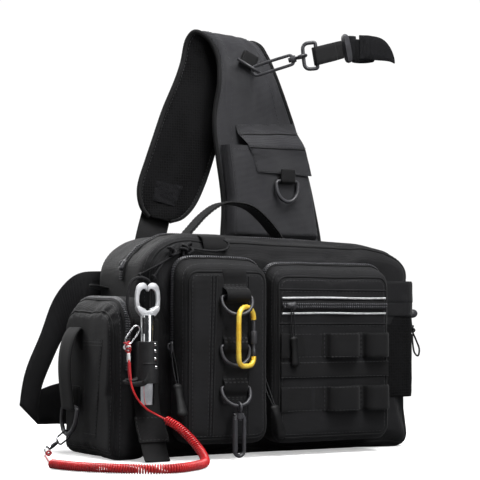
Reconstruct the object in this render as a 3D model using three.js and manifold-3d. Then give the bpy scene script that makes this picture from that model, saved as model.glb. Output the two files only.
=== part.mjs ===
// Fishing tackle sling bag: a soft box bag with zipped pockets, a padded shoulder sling and its hardware.
// Millimetres, +X to the right along the front, +Y to the back, +Z up.
// The origin is the middle of the main compartment's base, on the surface that it stands on.
import * as THREE from 'three';
import { mergeVertices } from 'three/addons/utils/BufferGeometryUtils.js';
import Module from 'manifold-3d';

const wasm = await Module();
wasm.setup();

// Clearances
const GAP = 0.3;
const RUNNING_GAP = 0.35;
const CUT_OVERRUN = 12;

// Driving sizes of the main compartment and its pockets
const MAIN = { length: 332, depth: 134, height: 234, wall: 2.5, edge: 11 };
const MAIN_CORNERS = { base: 12, leftWidth: 50, leftHeight: 42, rightWidth: 96, rightHeight: 36 };
const MAIN_ZIP = { at: 12, width: 6.4, low: 186 };
const HALF = MAIN.length / 2;
const FACE = MAIN.depth / 2;

const TALL = {
  left: -139, width: 98, low: 17, high: 199, deep: 38, wall: 2, corner: 15, edge: 7, slope: 12, swell: 1.5,
};
const TALL_ZIP = { setBack: 27, width: 6, low: 104 };
const WIDE = {
  left: -32, width: 145, low: 15, high: 195, deep: 36, wall: 2, corner: 13, edge: 6, slope: 12, swell: 1.5,
};
const WIDE_ZIP = { setBack: 24, width: 6, low: 78 };
const END = { halfWidth: 68, high: 160, deep: 37, wall: 2, corner: 30, foot: 10, edge: 7, slope: 10, swell: 1 };
const END_ZIP = { setBack: 15, width: 6, low: 92 };

// Webbing, rings and hooks
const WEB = 1.8;
const CORNER_STEPS = 4;
const RING = { width: 36, height: 25, wire: 1.5 };
const RING_TURN = 11;
const RING_TILT = 25;
const RING_REST = 12;

const TO_RADIANS = Math.PI / 180;
const vec = (x, y, z) => new THREE.Vector3(x, y, z);
const steps = (count) => Array.from({ length: count }, (_, i) => i);
const group = new THREE.Group();

// Finishes, by slot
const FINISH = {
  nylon: { color: 0x242426, roughness: 0.85, metalness: 0 },
  webbing: { color: 0x1b1b1d, roughness: 0.9, metalness: 0 },
  mesh: { color: 0x131314, roughness: 0.95, metalness: 0 },
  zip: { color: 0x161617, roughness: 0.6, metalness: 0 },
  piping: { color: 0xd9d9d6, roughness: 0.4, metalness: 0 },
  plastic: { color: 0x3c3c3f, roughness: 0.5, metalness: 0 },
  rubber: { color: 0x2a2a2b, roughness: 0.7, metalness: 0 },
  anodised: { color: 0xf0b020, roughness: 0.3, metalness: 1 },
  steel: { color: 0xd8d8da, roughness: 0.2, metalness: 1 },
  redcoil: { color: 0xe0282c, roughness: 0.35, metalness: 0 },
};

function add(name, slot, geometry) {
  const mesh = new THREE.Mesh(geometry, new THREE.MeshStandardMaterial(FINISH[slot]));
  mesh.name = name;
  group.add(mesh);
}

// Solids made from rings of points

function signedVolume(positions, index) {
  const corner = (i) => vec(...positions.slice(3 * index[i], 3 * index[i] + 3));
  let sum = 0;
  for (let i = 0; i < index.length; i += 3) {
    sum += corner(i).dot(corner(i + 1).cross(corner(i + 2)));
  }
  return sum;
}

// Joins rings of equal count into one closed body: a loop without ends, or a stack with two flat caps.
function loft(rings, loop = false) {
  const count = rings[0].length;
  const points = rings.flat();
  const index = [];
  const spans = loop ? rings.length : rings.length - 1;
  for (const r of steps(spans)) {
    const next = (r + 1) % rings.length;
    for (const i of steps(count)) {
      const j = (i + 1) % count;
      const [a, b, c, d] = [r * count + i, r * count + j, next * count + j, next * count + i];
      index.push(a, b, c, a, c, d);
    }
  }
  if (!loop) {
    for (const [r, turned] of [[0, true], [rings.length - 1, false]]) {
      const middle = rings[r].reduce((sum, p) => sum.add(p), vec(0, 0, 0)).divideScalar(count);
      points.push(middle);
      for (const i of steps(count)) {
        const pair = [r * count + i, r * count + ((i + 1) % count)];
        index.push(...(turned ? pair.reverse() : pair), points.length - 1);
      }
    }
  }
  const positions = points.flatMap((p) => [p.x, p.y, p.z]);
  if (signedVolume(positions, index) < 0) {
    index.reverse();
  }
  const geometry = new THREE.BufferGeometry();
  geometry.setAttribute('position', new THREE.Float32BufferAttribute(positions, 3));
  geometry.setIndex(index);
  return geometry;
}

function solid(geometry) {
  const bare = geometry.clone();
  bare.deleteAttribute('normal');
  bare.deleteAttribute('uv');
  const merged = mergeVertices(bare);
  return new wasm.Manifold(new wasm.Mesh({
    numProp: 3,
    vertProperties: new Float32Array(merged.attributes.position.array),
    triVerts: new Uint32Array(merged.index.array),
  }));
}

function geometryOf(body) {
  const mesh = body.getMesh();
  const geometry = new THREE.BufferGeometry();
  geometry.setAttribute('position', new THREE.Float32BufferAttribute(mesh.vertProperties, 3));
  geometry.setIndex(Array.from(mesh.triVerts));
  return geometry;
}

// Soft boxes: rounded rectangles stacked along their depth. u runs across, v up and w outwards.

const FACING = {
  front: (u, v, w) => vec(u, -w, v),
  left: (u, v, w) => vec(-w, u, v),
};

// along is the share of the depth, edge the share of the rounded edge, swell the share of the side's swell
const POCKET_ROWS = [
  { along: 0, edge: 0, swell: 0 },
  { along: 0.4, edge: 0, swell: 1 },
  { along: 0.8, edge: 0, swell: 0.7 },
  { along: 0.94, edge: 0.3, swell: 0 },
  { along: 1, edge: 1, swell: 0 },
];
const BODY_ROWS = [
  { along: 0, edge: 1, swell: 0 },
  { along: 0.03, edge: 0.3, swell: 0 },
  { along: 0.09, edge: 0, swell: 0 },
  { along: 0.91, edge: 0, swell: 0 },
  { along: 0.97, edge: 0.3, swell: 0 },
  { along: 1, edge: 1, swell: 0 },
];

// corners holds [width, height] of each rounded corner, from the bottom left, anticlockwise
function outline(box, corners) {
  const places = [
    { u: box.left, v: box.low, inU: 1, inV: 1, start: Math.PI },
    { u: box.right, v: box.low, inU: -1, inV: 1, start: 1.5 * Math.PI },
    { u: box.right, v: box.high, inU: -1, inV: -1, start: 0 },
    { u: box.left, v: box.high, inU: 1, inV: -1, start: 0.5 * Math.PI },
  ];
  return places.flatMap((place, c) => steps(CORNER_STEPS + 1).map((i) => {
    const angle = place.start + (i / CORNER_STEPS) * 0.5 * Math.PI;
    const [width, height] = corners[c];
    return [
      place.u + width * (place.inU + Math.cos(angle)),
      place.v + height * (place.inV + Math.sin(angle)),
    ];
  }));
}

function softBlock(block, rows, place) {
  return loft(rows.map((row) => {
    const inset = row.edge * block.edge - row.swell * block.swell;
    const box = {
      left: block.left + inset,
      right: block.right - inset,
      low: block.low + inset,
      high: block.high + block.slope * (1 - row.along) - inset,
    };
    const corners = block.corners.map((corner) => corner.map((size) => Math.max(size - inset, size * 0.2)));
    const w = block.back + row.along * (block.front - block.back);
    return outline(box, corners).map(([u, v]) => place(u, v, w));
  }));
}

function innerBlock(block) {
  return {
    ...block,
    left: block.left + block.wall,
    right: block.right - block.wall,
    low: block.low + block.wall,
    high: block.high - block.wall,
    back: block.back + block.wall,
    front: block.front - block.wall,
    corners: block.corners.map((corner) => corner.map((size) => Math.max(size - block.wall, size * 0.2))),
  };
}

function slab(place, [u0, u1], [v0, v1], [w0, w1]) {
  return loft([w0, w1].map((w) => [[u0, v0], [u1, v0], [u1, v1], [u0, v1]].map(([u, v]) => place(u, v, w))));
}

// A hollow compartment with a slot for its zip round the top and both sides, and the zip that fills the slot
function zippedPocket(block, rows, place, zip) {
  const walls = solid(softBlock(block, rows, place)).subtract(solid(softBlock(innerBlock(block), rows, place)));
  const band = (gap) => solid(slab(
    place,
    [block.left - CUT_OVERRUN, block.right + CUT_OVERRUN],
    [zip.low + gap, block.high + block.slope + CUT_OVERRUN],
    [zip.at - zip.width / 2 + gap, zip.at + zip.width / 2 - gap],
  ));
  return { shell: geometryOf(walls.subtract(band(0))), zip: geometryOf(walls.intersect(band(GAP))) };
}

const square = (size) => [size, size];
const mainBlock = {
  left: -HALF,
  right: HALF,
  low: 0,
  high: MAIN.height,
  back: -FACE,
  front: FACE,
  wall: MAIN.wall,
  edge: MAIN.edge,
  slope: 0,
  swell: 0,
  corners: [
    square(MAIN_CORNERS.base),
    square(MAIN_CORNERS.base),
    [MAIN_CORNERS.rightWidth, MAIN_CORNERS.rightHeight],
    [MAIN_CORNERS.leftWidth, MAIN_CORNERS.leftHeight],
  ],
};

function frontPocketBlock(pocket) {
  return {
    ...pocket,
    right: pocket.left + pocket.width,
    back: FACE + GAP,
    front: FACE + GAP + pocket.deep,
    corners: steps(4).map(() => square(pocket.corner)),
  };
}
const tallBlock = frontPocketBlock(TALL);
const wideBlock = frontPocketBlock(WIDE);
const endBlock = {
  ...END,
  left: -END.halfWidth,
  right: END.halfWidth,
  low: END.swell,
  back: HALF + GAP,
  front: HALF + GAP + END.deep,
  corners: [square(END.foot), square(END.foot), square(END.corner), square(END.corner)],
};

const mainParts = zippedPocket(mainBlock, BODY_ROWS, FACING.front, MAIN_ZIP);
const setBack = (block, zip) => ({ ...zip, at: block.front - zip.setBack });
const tallParts = zippedPocket(tallBlock, POCKET_ROWS, FACING.front, setBack(tallBlock, TALL_ZIP));
const wideParts = zippedPocket(wideBlock, POCKET_ROWS, FACING.front, setBack(wideBlock, WIDE_ZIP));
const endParts = zippedPocket(endBlock, POCKET_ROWS, FACING.left, setBack(endBlock, END_ZIP));

add('main_compartment', 'nylon', mainParts.shell);
add('main_zip', 'zip', mainParts.zip);
add('tall_pocket', 'nylon', tallParts.shell);
add('tall_pocket_zip', 'zip', tallParts.zip);
add('wide_pocket', 'nylon', wideParts.shell);
add('wide_pocket_zip', 'zip', wideParts.zip);
add('end_pocket', 'nylon', endParts.shell);
add('end_pocket_zip', 'zip', endParts.zip);

// Ribbons: webbing and padded straps, lofted between a left and a right edge

function crossSection(left, right, normal, thickness, soft) {
  const half = thickness / 2;
  const share = soft
    ? [[0, -0.4], [0.05, -1], [0.95, -1], [1, -0.4], [1, 0.4], [0.95, 1], [0.05, 1], [0, 0.4]]
    : [[0, -1], [1, -1], [1, 1], [0, 1]];
  return share.map(([across, up]) => left.clone().lerp(right, across).addScaledVector(normal, up * half));
}

function ribbon(lefts, rights, thickness, soft = false) {
  const middles = lefts.map((p, i) => p.clone().add(rights[i]).multiplyScalar(0.5));
  return loft(lefts.map((left, i) => {
    const before = middles[Math.max(i - 1, 0)];
    const after = middles[Math.min(i + 1, middles.length - 1)];
    const along = after.clone().sub(before).normalize();
    const normal = rights[i].clone().sub(left).cross(along).normalize();
    return crossSection(left, rights[i], normal, thickness, soft);
  }));
}

function strap(points, across, width, thickness) {
  const half = across.clone().normalize().multiplyScalar(width / 2);
  return ribbon(points.map((p) => p.clone().sub(half)), points.map((p) => p.clone().add(half)), thickness);
}

function smooth(points, count) {
  return new THREE.CatmullRomCurve3(points, false, 'centripetal').getPoints(count);
}

// A closed wire in one plane, with a round section
function wireLoop(points, normal, radius, sides) {
  return loft(points.map((point, i) => {
    const before = points[(i + points.length - 1) % points.length];
    const after = points[(i + 1) % points.length];
    const along = after.clone().sub(before).normalize();
    const outward = along.clone().cross(normal).normalize();
    return steps(sides).map((k) => {
      const angle = (k / sides) * 2 * Math.PI;
      return point.clone()
        .addScaledVector(outward, radius * Math.cos(angle))
        .addScaledVector(normal, radius * Math.sin(angle));
    });
  }), true);
}

// Turned solid about a local Z axis; profile rows are [radius, z] and start and end on the axis
function turned(profile, sides) {
  const points = profile.map(([radius, z]) => new THREE.Vector2(radius, z));
  const geometry = new THREE.LatheGeometry(points, sides).rotateX(Math.PI / 2);
  const index = [...geometry.index.array];
  if (signedVolume(geometry.attributes.position.array, index) < 0) {
    geometry.setIndex(index.reverse());
  }
  return geometry;
}

// Places a geometry made at a local origin: its local X, Y and Z axes lie along the given directions
function placed(geometry, origin, along, up) {
  const z = up.clone().normalize();
  const x = along.clone().addScaledVector(z, -along.dot(z)).normalize();
  const y = z.clone().cross(x);
  return geometry.clone().applyMatrix4(new THREE.Matrix4().makeBasis(x, y, z).setPosition(origin));
}

// D-ring at a local origin: its bar lies along X and its bow hangs down along -Z
function dRing({ width, height, wire }) {
  const half = width / 2 - wire;
  const drop = height - 2 * wire;
  const bow = steps(13).map((i) => {
    const angle = (i / 12) * Math.PI;
    return vec(half * Math.cos(angle), 0, -0.3 * drop - 0.7 * drop * Math.sin(angle));
  });
  const points = [
    vec(-half * 0.85, 0, 0), vec(half * 0.85, 0, 0), vec(half, 0, -0.1 * drop),
    ...bow, vec(-half, 0, -0.1 * drop),
  ];
  return wireLoop(points, vec(0, 1, 0), wire, 6);
}

// Where a ring's bar sits before a face, so that it can turn a little in its webbing
const ringSwing = (turn) => Math.sin(Math.abs(turn) * TO_RADIANS) * RING.width / 2;
const barOut = (turn) => GAP + RING.wire + ringSwing(turn);
const coverOut = (turn) => barOut(turn) + RING.wire + ringSwing(turn) + 2 * GAP + WEB / 2;

// Webbing on the tall pocket with its three rings
const LADDER = { x: -83, width: 28, top: 200, bottom: 58, bulge: 5 };
const RINGS = [
  { name: 'ring_upper', z: 170, turn: -RING_TURN, tilt: RING_TILT },
  { name: 'ring_middle', z: 119, turn: 0, tilt: RING_REST },
  { name: 'ring_lower', z: 76, turn: 0, tilt: RING_TILT },
];
const tallFace = tallBlock.front;
const flatOut = tallFace + GAP + WEB / 2;
const bulgeRows = [[-1.9, 0], [-1.1, 0.72], [-0.5, 1], [0.5, 1], [1.1, 0.72], [1.9, 0]];
const ladderPath = [vec(LADDER.x, -flatOut, LADDER.bottom)];
for (const ring of [...RINGS].reverse()) {
  const rise = tallFace + coverOut(ring.turn) - flatOut;
  for (const [along, share] of bulgeRows) {
    ladderPath.push(vec(LADDER.x, -flatOut - rise * share, ring.z + along * LADDER.bulge));
  }
}
ladderPath.push(vec(LADDER.x, -flatOut, LADDER.top - TALL.edge - TALL.corner / 2));
add('ring_webbing', 'webbing', strap(ladderPath, vec(1, 0, 0), LADDER.width, WEB));

function ringAt(place, turn, tilt, size = RING) {
  return dRing(size)
    .rotateX(-tilt * TO_RADIANS)
    .rotateZ(turn * TO_RADIANS)
    .translate(place.x, place.y, place.z);
}
const ringBars = {};
for (const ring of RINGS) {
  ringBars[ring.name] = vec(LADDER.x, -(tallFace + barOut(ring.turn)), ring.z);
  add(ring.name, 'plastic', ringAt(ringBars[ring.name], ring.turn, ring.tilt));
}

// Swivel snap hook at a local origin: the eye's middle; the hook hangs down along -Z in the XZ plane
const HOOK = { wire: 1.9, width: 15, length: 43, eye: 4.6, eyeWire: 1.4, stem: 1.5, neck: 4, neckHeight: 5 };
function snapHook(size, sides = 8) {
  const stemTop = -size.eye;
  const neckTop = stemTop - size.eyeWire - GAP;
  const neckFoot = neckTop - size.neckHeight;
  const headFoot = neckFoot - RUNNING_GAP - 2;
  const eyeLoop = steps(12).map((i) => {
    const angle = (i / 12) * 2 * Math.PI;
    return vec(0, size.eye * Math.cos(angle), size.eye * Math.sin(angle));
  });
  const pin = turned([
    [0, stemTop + 0.4], [size.stem, stemTop + 0.4], [size.stem, neckFoot - RUNNING_GAP],
    [size.stem + 1.2, neckFoot - RUNNING_GAP], [size.stem + 1.2, headFoot], [0, headFoot],
  ], sides);
  const eye = solid(wireLoop(eyeLoop, vec(1, 0, 0), size.eyeWire, 6)).add(solid(pin));
  const halfWidth = size.width / 2 - size.wire;
  const loopTop = neckFoot + size.neckHeight / 2;
  const rounded = halfWidth;
  const low = loopTop - size.length + size.wire;
  const corners = [square(rounded), square(rounded), square(rounded * 0.7), square(rounded * 0.7)];
  const oval = outline({ left: -halfWidth, right: halfWidth, low, high: loopTop }, corners);
  const bow = wireLoop(oval.map(([x, z]) => vec(x, 0, z)), vec(0, 1, 0), size.wire, 6);
  const neck = turned([[0, neckTop], [size.neck, neckTop], [size.neck, neckFoot], [0, neckFoot]], sides);
  const bore = turned([
    [0, neckTop + 1], [size.stem + RUNNING_GAP, neckTop + 1], [size.stem + RUNNING_GAP, neckFoot],
    [size.stem + 1.2 + RUNNING_GAP, neckFoot], [size.stem + 1.2 + RUNNING_GAP, headFoot - RUNNING_GAP],
    [0, headFoot - RUNNING_GAP],
  ], sides);
  const body = solid(bow).add(solid(neck)).subtract(solid(bore));
  return { eye: geometryOf(eye), body: geometryOf(body), reach: -low + size.wire };
}

// The lowest point of a ring's bow, as it is turned and tilted
function bowPoint(bar, turn, tilt, size = RING) {
  const drop = size.height - 2 * size.wire;
  return vec(0, 0, -drop)
    .applyAxisAngle(vec(1, 0, 0), -tilt * TO_RADIANS)
    .applyAxisAngle(vec(0, 0, 1), turn * TO_RADIANS)
    .add(bar);
}
const lowerBow = bowPoint(ringBars.ring_lower, 0, RING_TILT);
const hookOrigin = lowerBow.clone().add(vec(0, 0, -(HOOK.eye - HOOK.eyeWire - RING.wire - GAP)));
const frontHook = snapHook(HOOK);
add('hook_eye', 'plastic', frontHook.eye.clone().translate(hookOrigin.x, hookOrigin.y, hookOrigin.z));
add('hook_body', 'plastic', frontHook.body.clone().translate(hookOrigin.x, hookOrigin.y, hookOrigin.z));

// Carabiner: an open D of wire with a gate that swings inwards about its foot
const CLIP = {
  height: 66, width: 33, wire: 2.4, crown: 12, foot: 9, gateFoot: 0.2, gateHead: 0.78, sleeve: 3.6,
};
const CLIP_TURN = 28;
const CLIP_X = -75.5;
function sweep(points, normal, section) {
  return loft(points.map((point, i) => {
    const before = points[Math.max(i - 1, 0)];
    const after = points[Math.min(i + 1, points.length - 1)];
    const along = after.clone().sub(before).normalize();
    const outward = along.clone().cross(normal).normalize();
    const lift = outward.clone().cross(along).normalize();
    return section(i / (points.length - 1)).map(([a, b]) => (
      point.clone().addScaledVector(outward, a).addScaledVector(lift, b)
    ));
  }));
}
const circle = (radius, sides) => steps(sides).map((k) => {
  const angle = (k / sides) * 2 * Math.PI;
  return [radius * Math.cos(angle), radius * Math.sin(angle)];
});
const SIDES_OF_PLATE = [[-1, -1], [1, -1], [1, 1], [-1, 1]];
const plate = (width, thick) => SIDES_OF_PLATE.map(([a, b]) => [a * width / 2, b * thick / 2]);
const wirePath = (points, normal, radius, sides) => sweep(points, normal, () => circle(radius, sides));
const clipHalf = CLIP.width / 2 - CLIP.wire;
const clipHigh = CLIP.height / 2 - CLIP.wire;
const clipPivotZ = -clipHigh + CLIP.gateFoot * 2 * clipHigh;
const clipGateTop = -clipHigh + CLIP.gateHead * 2 * clipHigh;
const clipOutline = outline(
  { left: -clipHalf, right: clipHalf, low: -clipHigh, high: clipHigh },
  [square(CLIP.foot), square(CLIP.foot), square(CLIP.crown), square(CLIP.crown)],
);
const quarter = CORNER_STEPS + 1;
const cornerOf = (c) => clipOutline.slice(c * quarter, (c + 1) * quarter);
const [footLeft, footRight, headRight, headLeft] = steps(4).map(cornerOf);
const clipPath = [
  [clipHalf, clipPivotZ - CLIP.wire - RUNNING_GAP],
  ...[...footRight].reverse(),
  ...[...footLeft].reverse(),
  ...[...headLeft].reverse(),
  ...[...headRight].reverse(),
  [clipHalf, clipGateTop + RUNNING_GAP],
].map(([x, z]) => vec(x, 0, z));
const gateHeight = clipGateTop - clipPivotZ;
const gate = turned([
  [0, -CLIP.wire], [CLIP.wire * 0.7, -CLIP.wire * 0.7], [CLIP.wire, 0], [CLIP.wire, gateHeight * 0.3],
  [CLIP.sleeve, gateHeight * 0.34], [CLIP.sleeve, gateHeight * 0.74], [CLIP.wire, gateHeight * 0.78],
  [CLIP.wire, gateHeight], [0, gateHeight],
], 10).translate(clipHalf, 0, clipPivotZ);
const upperBow = bowPoint(ringBars.ring_upper, -RING_TURN, RING_TILT);
const CLIP_HANG = 4;
const CLIP_BEHIND = 2;
const clipHead = upperBow.z + RING.wire + CLIP.wire + CLIP_HANG;
const clipOrigin = vec(CLIP_X, upperBow.y + CLIP_BEHIND, clipHead - clipHigh);
const clipPlaced = (geometry) => geometry.clone()
  .rotateZ(CLIP_TURN * TO_RADIANS)
  .translate(clipOrigin.x, clipOrigin.y, clipOrigin.z);
add('carabiner', 'anodised', clipPlaced(wirePath(clipPath, vec(0, 1, 0), CLIP.wire, 8)));
add('carabiner_gate', 'plastic', clipPlaced(gate));

// Ladder of loops on the wide pocket: flat bands and bands that bulge into two loops
const BAND = { left: -29, right: 110, height: 27, thick: 1.6, bulge: 10 };
const LOOP_SPANS = [[0.42, 0.72], [0.76, 0.99]];
const LOOP_ROWS = [[0, 0], [0.08, 0.55], [0.22, 0.9], [0.5, 1], [0.78, 0.9], [0.92, 0.55], [1, 0]];
const BANDS = [
  { name: 'band_upper', z: 117, height: BAND.height, loops: true },
  { name: 'band_middle', z: 91, height: 17, loops: false },
  { name: 'band_lower', z: 60, height: BAND.height, loops: true },
];
const wideFace = wideBlock.front;
const bandOut = wideFace + GAP + BAND.thick / 2;
for (const band of BANDS) {
  const path = [vec(BAND.left + 3, -bandOut, band.z)];
  if (band.loops) {
    for (const [from, to] of LOOP_SPANS) {
      for (const [along, share] of LOOP_ROWS) {
        const x = BAND.left + (from + (to - from) * along) * (BAND.right - BAND.left);
        path.push(vec(x, -bandOut - BAND.bulge * share, band.z));
      }
    }
  }
  path.push(vec(BAND.right - 0.5, -bandOut, band.z));
  add(band.name, 'webbing', strap(path, vec(0, 0, 1), band.height, BAND.thick));
}

// Reflective piping and the zip between, on the wide pocket's face
const PIPE = { radius: 1.1, upper: 168, lower: 151.5, zipHeight: 9, zipThick: 1.4 };
const pipeSpan = [WIDE.left + WIDE.edge + 1, WIDE.left + WIDE.width - WIDE.edge - 1];
for (const [name, z] of [['piping_upper', PIPE.upper], ['piping_lower', PIPE.lower]]) {
  const points = pipeSpan.map((x) => vec(x, -(wideFace + GAP + PIPE.radius), z));
  add(name, 'piping', wirePath(points, vec(0, 0, 1), PIPE.radius, 6));
}
const faceZipZ = (PIPE.upper + PIPE.lower) / 2;
const faceZipPath = pipeSpan.map((x) => vec(x, -(wideFace + GAP + PIPE.zipThick / 2), faceZipZ));
add('face_zip', 'zip', strap(faceZipPath, vec(0, 0, 1), PIPE.zipHeight, PIPE.zipThick));

// Top handle: an arch of webbing across the lid, and the tab on the lid's front edge
const HANDLE = { from: -82, to: 42, y: 20, width: 25, thick: 3.2, rise: 41 };
const HANDLE_ROWS = [
  [0, 0.02], [0.07, 0.22], [0.2, 0.62], [0.36, 0.94], [0.5, 1], [0.68, 0.9], [0.84, 0.55], [0.95, 0.2], [1, 0.02],
];
const lidTop = MAIN.height + GAP + HANDLE.thick / 2;
const handlePath = [
  vec(HANDLE.from - 16, HANDLE.y, lidTop),
  ...HANDLE_ROWS.map(([along, rise]) => vec(
    HANDLE.from + along * (HANDLE.to - HANDLE.from), HANDLE.y, lidTop + rise * HANDLE.rise,
  )),
  vec(HANDLE.to + 14, HANDLE.y, lidTop),
];
add('top_handle', 'webbing', strap(smooth(handlePath, 28), vec(0, 1, 0), HANDLE.width, HANDLE.thick));

const TAB = { x: -86, width: 28, back: -34, drop: 15 };
const tabOut = GAP + WEB / 2 + 0.1;
const edgeRows = BODY_ROWS.slice(0, 3).map((row) => ({
  y: -FACE + row.along * MAIN.depth,
  z: MAIN.height - row.edge * MAIN.edge,
}));
const tabPath = [
  vec(TAB.x, TAB.back, edgeRows[2].z + tabOut),
  vec(TAB.x, edgeRows[2].y, edgeRows[2].z + tabOut * 1.05),
  vec(TAB.x, edgeRows[1].y - tabOut * 0.75, edgeRows[1].z + tabOut),
  vec(TAB.x, edgeRows[0].y - tabOut * 1.1, edgeRows[0].z + tabOut * 0.4),
  vec(TAB.x, edgeRows[0].y - tabOut, MAIN.height - TAB.drop),
];
add('lid_tab', 'webbing', strap(tabPath, vec(1, 0, 0), TAB.width, WEB));

// Padded shoulder sling: rows are shares of the root's width, the rise above the lid and the fold's depth
const SLING = { x: 62, width: 134, rise: 250, fold: 25, thick: 8 };
const SLING_ROWS = [
  { leftX: -0.493, leftZ: -0.088, rightX: 0.493, rightZ: -0.088, back: 0 },
  { leftX: -0.507, leftZ: 0.024, rightX: 0.493, rightZ: 0.008, back: 0 },
  { leftX: -0.493, leftZ: 0.2, rightX: 0.433, rightZ: 0.184, back: 0 },
  { leftX: -0.552, leftZ: 0.404, rightX: 0.328, rightZ: 0.392, back: 0 },
  { leftX: -0.582, leftZ: 0.572, rightX: 0.216, rightZ: 0.576, back: 0 },
  { leftX: -0.53, leftZ: 0.764, rightX: 0.052, rightZ: 0.792, back: 0 },
  { leftX: -0.53, leftZ: 0.876, rightX: -0.045, rightZ: 0.912, back: 0.12 },
  { leftX: -0.612, leftZ: 0.972, rightX: -0.09, rightZ: 0.952, back: 0.3 },
  { leftX: -0.716, leftZ: 1, rightX: -0.164, rightZ: 0.968, back: 0.6 },
  { leftX: -0.761, leftZ: 0.968, rightX: -0.209, rightZ: 0.912, back: 0.85 },
  { leftX: -0.806, leftZ: 0.848, rightX: -0.284, rightZ: 0.76, back: 1 },
  { leftX: -0.985, leftZ: 0.616, rightX: -0.448, rightZ: 0.496, back: 1 },
  { leftX: -1.142, leftZ: 0.388, rightX: -0.597, rightZ: 0.276, back: 0.98 },
  { leftX: -1.224, leftZ: 0.244, rightX: -0.694, rightZ: 0.18, back: 0.94 },
  { leftX: -1.2, leftZ: 0.164, rightX: -0.813, rightZ: 0.12, back: 0.9 },
  { leftX: -1.134, leftZ: 0.12, rightX: -0.933, rightZ: 0.1, back: 0.88 },
];
const slingMiddle = FACE + GAP + SLING.thick / 2;
const slingPoint = (x, z, back) => vec(
  SLING.x + x * SLING.width, slingMiddle + back * SLING.fold, MAIN.height + z * SLING.rise,
);
const slingLeft = smooth(SLING_ROWS.map((row) => slingPoint(row.leftX, row.leftZ, row.back)), 36);
const slingRight = smooth(SLING_ROWS.map((row) => slingPoint(row.rightX, row.rightZ, row.back)), 36);
add('shoulder_sling', 'nylon', ribbon(slingLeft, slingRight, SLING.thick, true));

// Webbing from the sling's tail down to the bag's back
const TAIL = { width: 38 };
const tailBack = slingMiddle + SLING.fold + SLING.thick / 2 + GAP + WEB / 2;
const tailPath = smooth([
  slingPoint(-1.0, 0.24, 0).setY(tailBack),
  slingPoint(-1.04, 0.12, 0).setY(tailBack),
  slingPoint(-1.13, 0.02, 0).setY(FACE + 22),
  slingPoint(-1.25, -0.16, 0).setY(FACE + 8),
  slingPoint(-1.31, -0.28, 0).setY(FACE + GAP + WEB / 2 + 0.2),
  slingPoint(-1.36, -0.42, 0).setY(FACE + GAP + WEB / 2 + 0.2),
], 12);
add('sling_webbing', 'webbing', strap(tailPath, vec(0.92, 0, -0.38), TAIL.width, WEB));

// Flat pouch on the sling, its flap and the ring below the flap
const POUCH = { deep: 12, wall: 1.5, low: MAIN.height + 5, height: 110 };
const POUCH_ROWS = [
  { share: 0, left: -2, right: 122 },
  { share: 0.45, left: -1, right: 114 },
  { share: 1, left: -9, right: 99 },
];
const slingFront = slingMiddle - SLING.thick / 2;
function pouchSolid(inset, rise) {
  return solid(loft(POUCH_ROWS.map(({ share, left, right }) => {
    const z = POUCH.low + inset + share * (POUCH.height + rise - inset);
    const [back, front] = [slingFront - GAP - inset, slingFront - GAP - POUCH.deep + inset];
    return [
      vec(left + inset, back, z), vec(right - inset, back, z), vec(right - inset, front + 4, z),
      vec(right - inset - 4, front, z), vec(left + inset + 4, front, z), vec(left + inset, front + 4, z),
    ];
  })));
}
add('sling_pouch', 'nylon', geometryOf(pouchSolid(0, 0).subtract(pouchSolid(POUCH.wall, 6))));
const FLAP = { thick: 1.6 };
const flapOut = slingFront - GAP - POUCH.deep - GAP - FLAP.thick / 2 - 0.2;
const flapTop = slingFront - GAP - FLAP.thick / 2 - 0.1;
const FLAP_ROWS = [
  { out: flapTop, left: 10, leftUp: 140, right: 90, rightUp: 145 },
  { out: flapTop - 2, left: 12, leftUp: 130, right: 92, rightUp: 135 },
  { out: flapOut, left: 20, leftUp: 116, right: 97, rightUp: 117 },
  { out: flapOut, left: 27, leftUp: 100, right: 102, rightUp: 100 },
  { out: flapOut, left: 33, leftUp: 84, right: 107, rightUp: 82 },
];
const flapLeft = FLAP_ROWS.map((row) => vec(row.left, row.out, MAIN.height + row.leftUp));
const flapRight = FLAP_ROWS.map((row) => vec(row.right, row.out, MAIN.height + row.rightUp));
add('pouch_flap', 'nylon', ribbon(flapLeft, flapRight, FLAP.thick));

// Rings sewn to the sling by webbing tabs
const SLING_RING = { width: 33, height: 29, wire: 1.7 };
const lowerBar = vec(71, flapOut - FLAP.thick / 2 - GAP - SLING_RING.wire, MAIN.height + 75);
add('sling_ring_lower', 'plastic', ringAt(lowerBar, 0, 6, SLING_RING));
const tabTurn = SLING_RING.wire + GAP + WEB / 2 + 0.2;
function ringTab(name, bar, up, out, across, width, behind, ahead) {
  const rows = [[behind, -1], [1, -1], [-0.45, -0.9], [-1, 0], [-0.45, 0.9], [1, 1], [ahead, 1]];
  const path = rows.map(([along, side]) => bar.clone()
    .addScaledVector(up, along * tabTurn)
    .addScaledVector(out, side * tabTurn));
  add(name, 'webbing', strap(path, across, width, WEB));
}
ringTab('sling_tab_lower', lowerBar, vec(0, 0, 1), vec(0, -1, 0), vec(1, 0, 0), 19, 1.2, 4.2);

// Upper ring: its bar lies across the sling's face and its bow stands out towards the keeper's hook
const upperBar = vec(24, slingFront - 3.2, MAIN.height + 212);
const upperAcross = vec(0.9, 0, -0.43).normalize();
const upperReach = vec(-0.1, -0.8, -0.3).normalize();
const upperUp = upperReach.clone().negate();
add('sling_ring_upper', 'plastic', placed(dRing(SLING_RING), upperBar, upperAcross, upperUp));
const upperTabUp = vec(0.43, 0, 0.9).normalize();
ringTab('sling_tab_upper', upperBar, upperTabUp, vec(0, -1, 0), upperAcross, 19, 5, 4.5);

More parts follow.
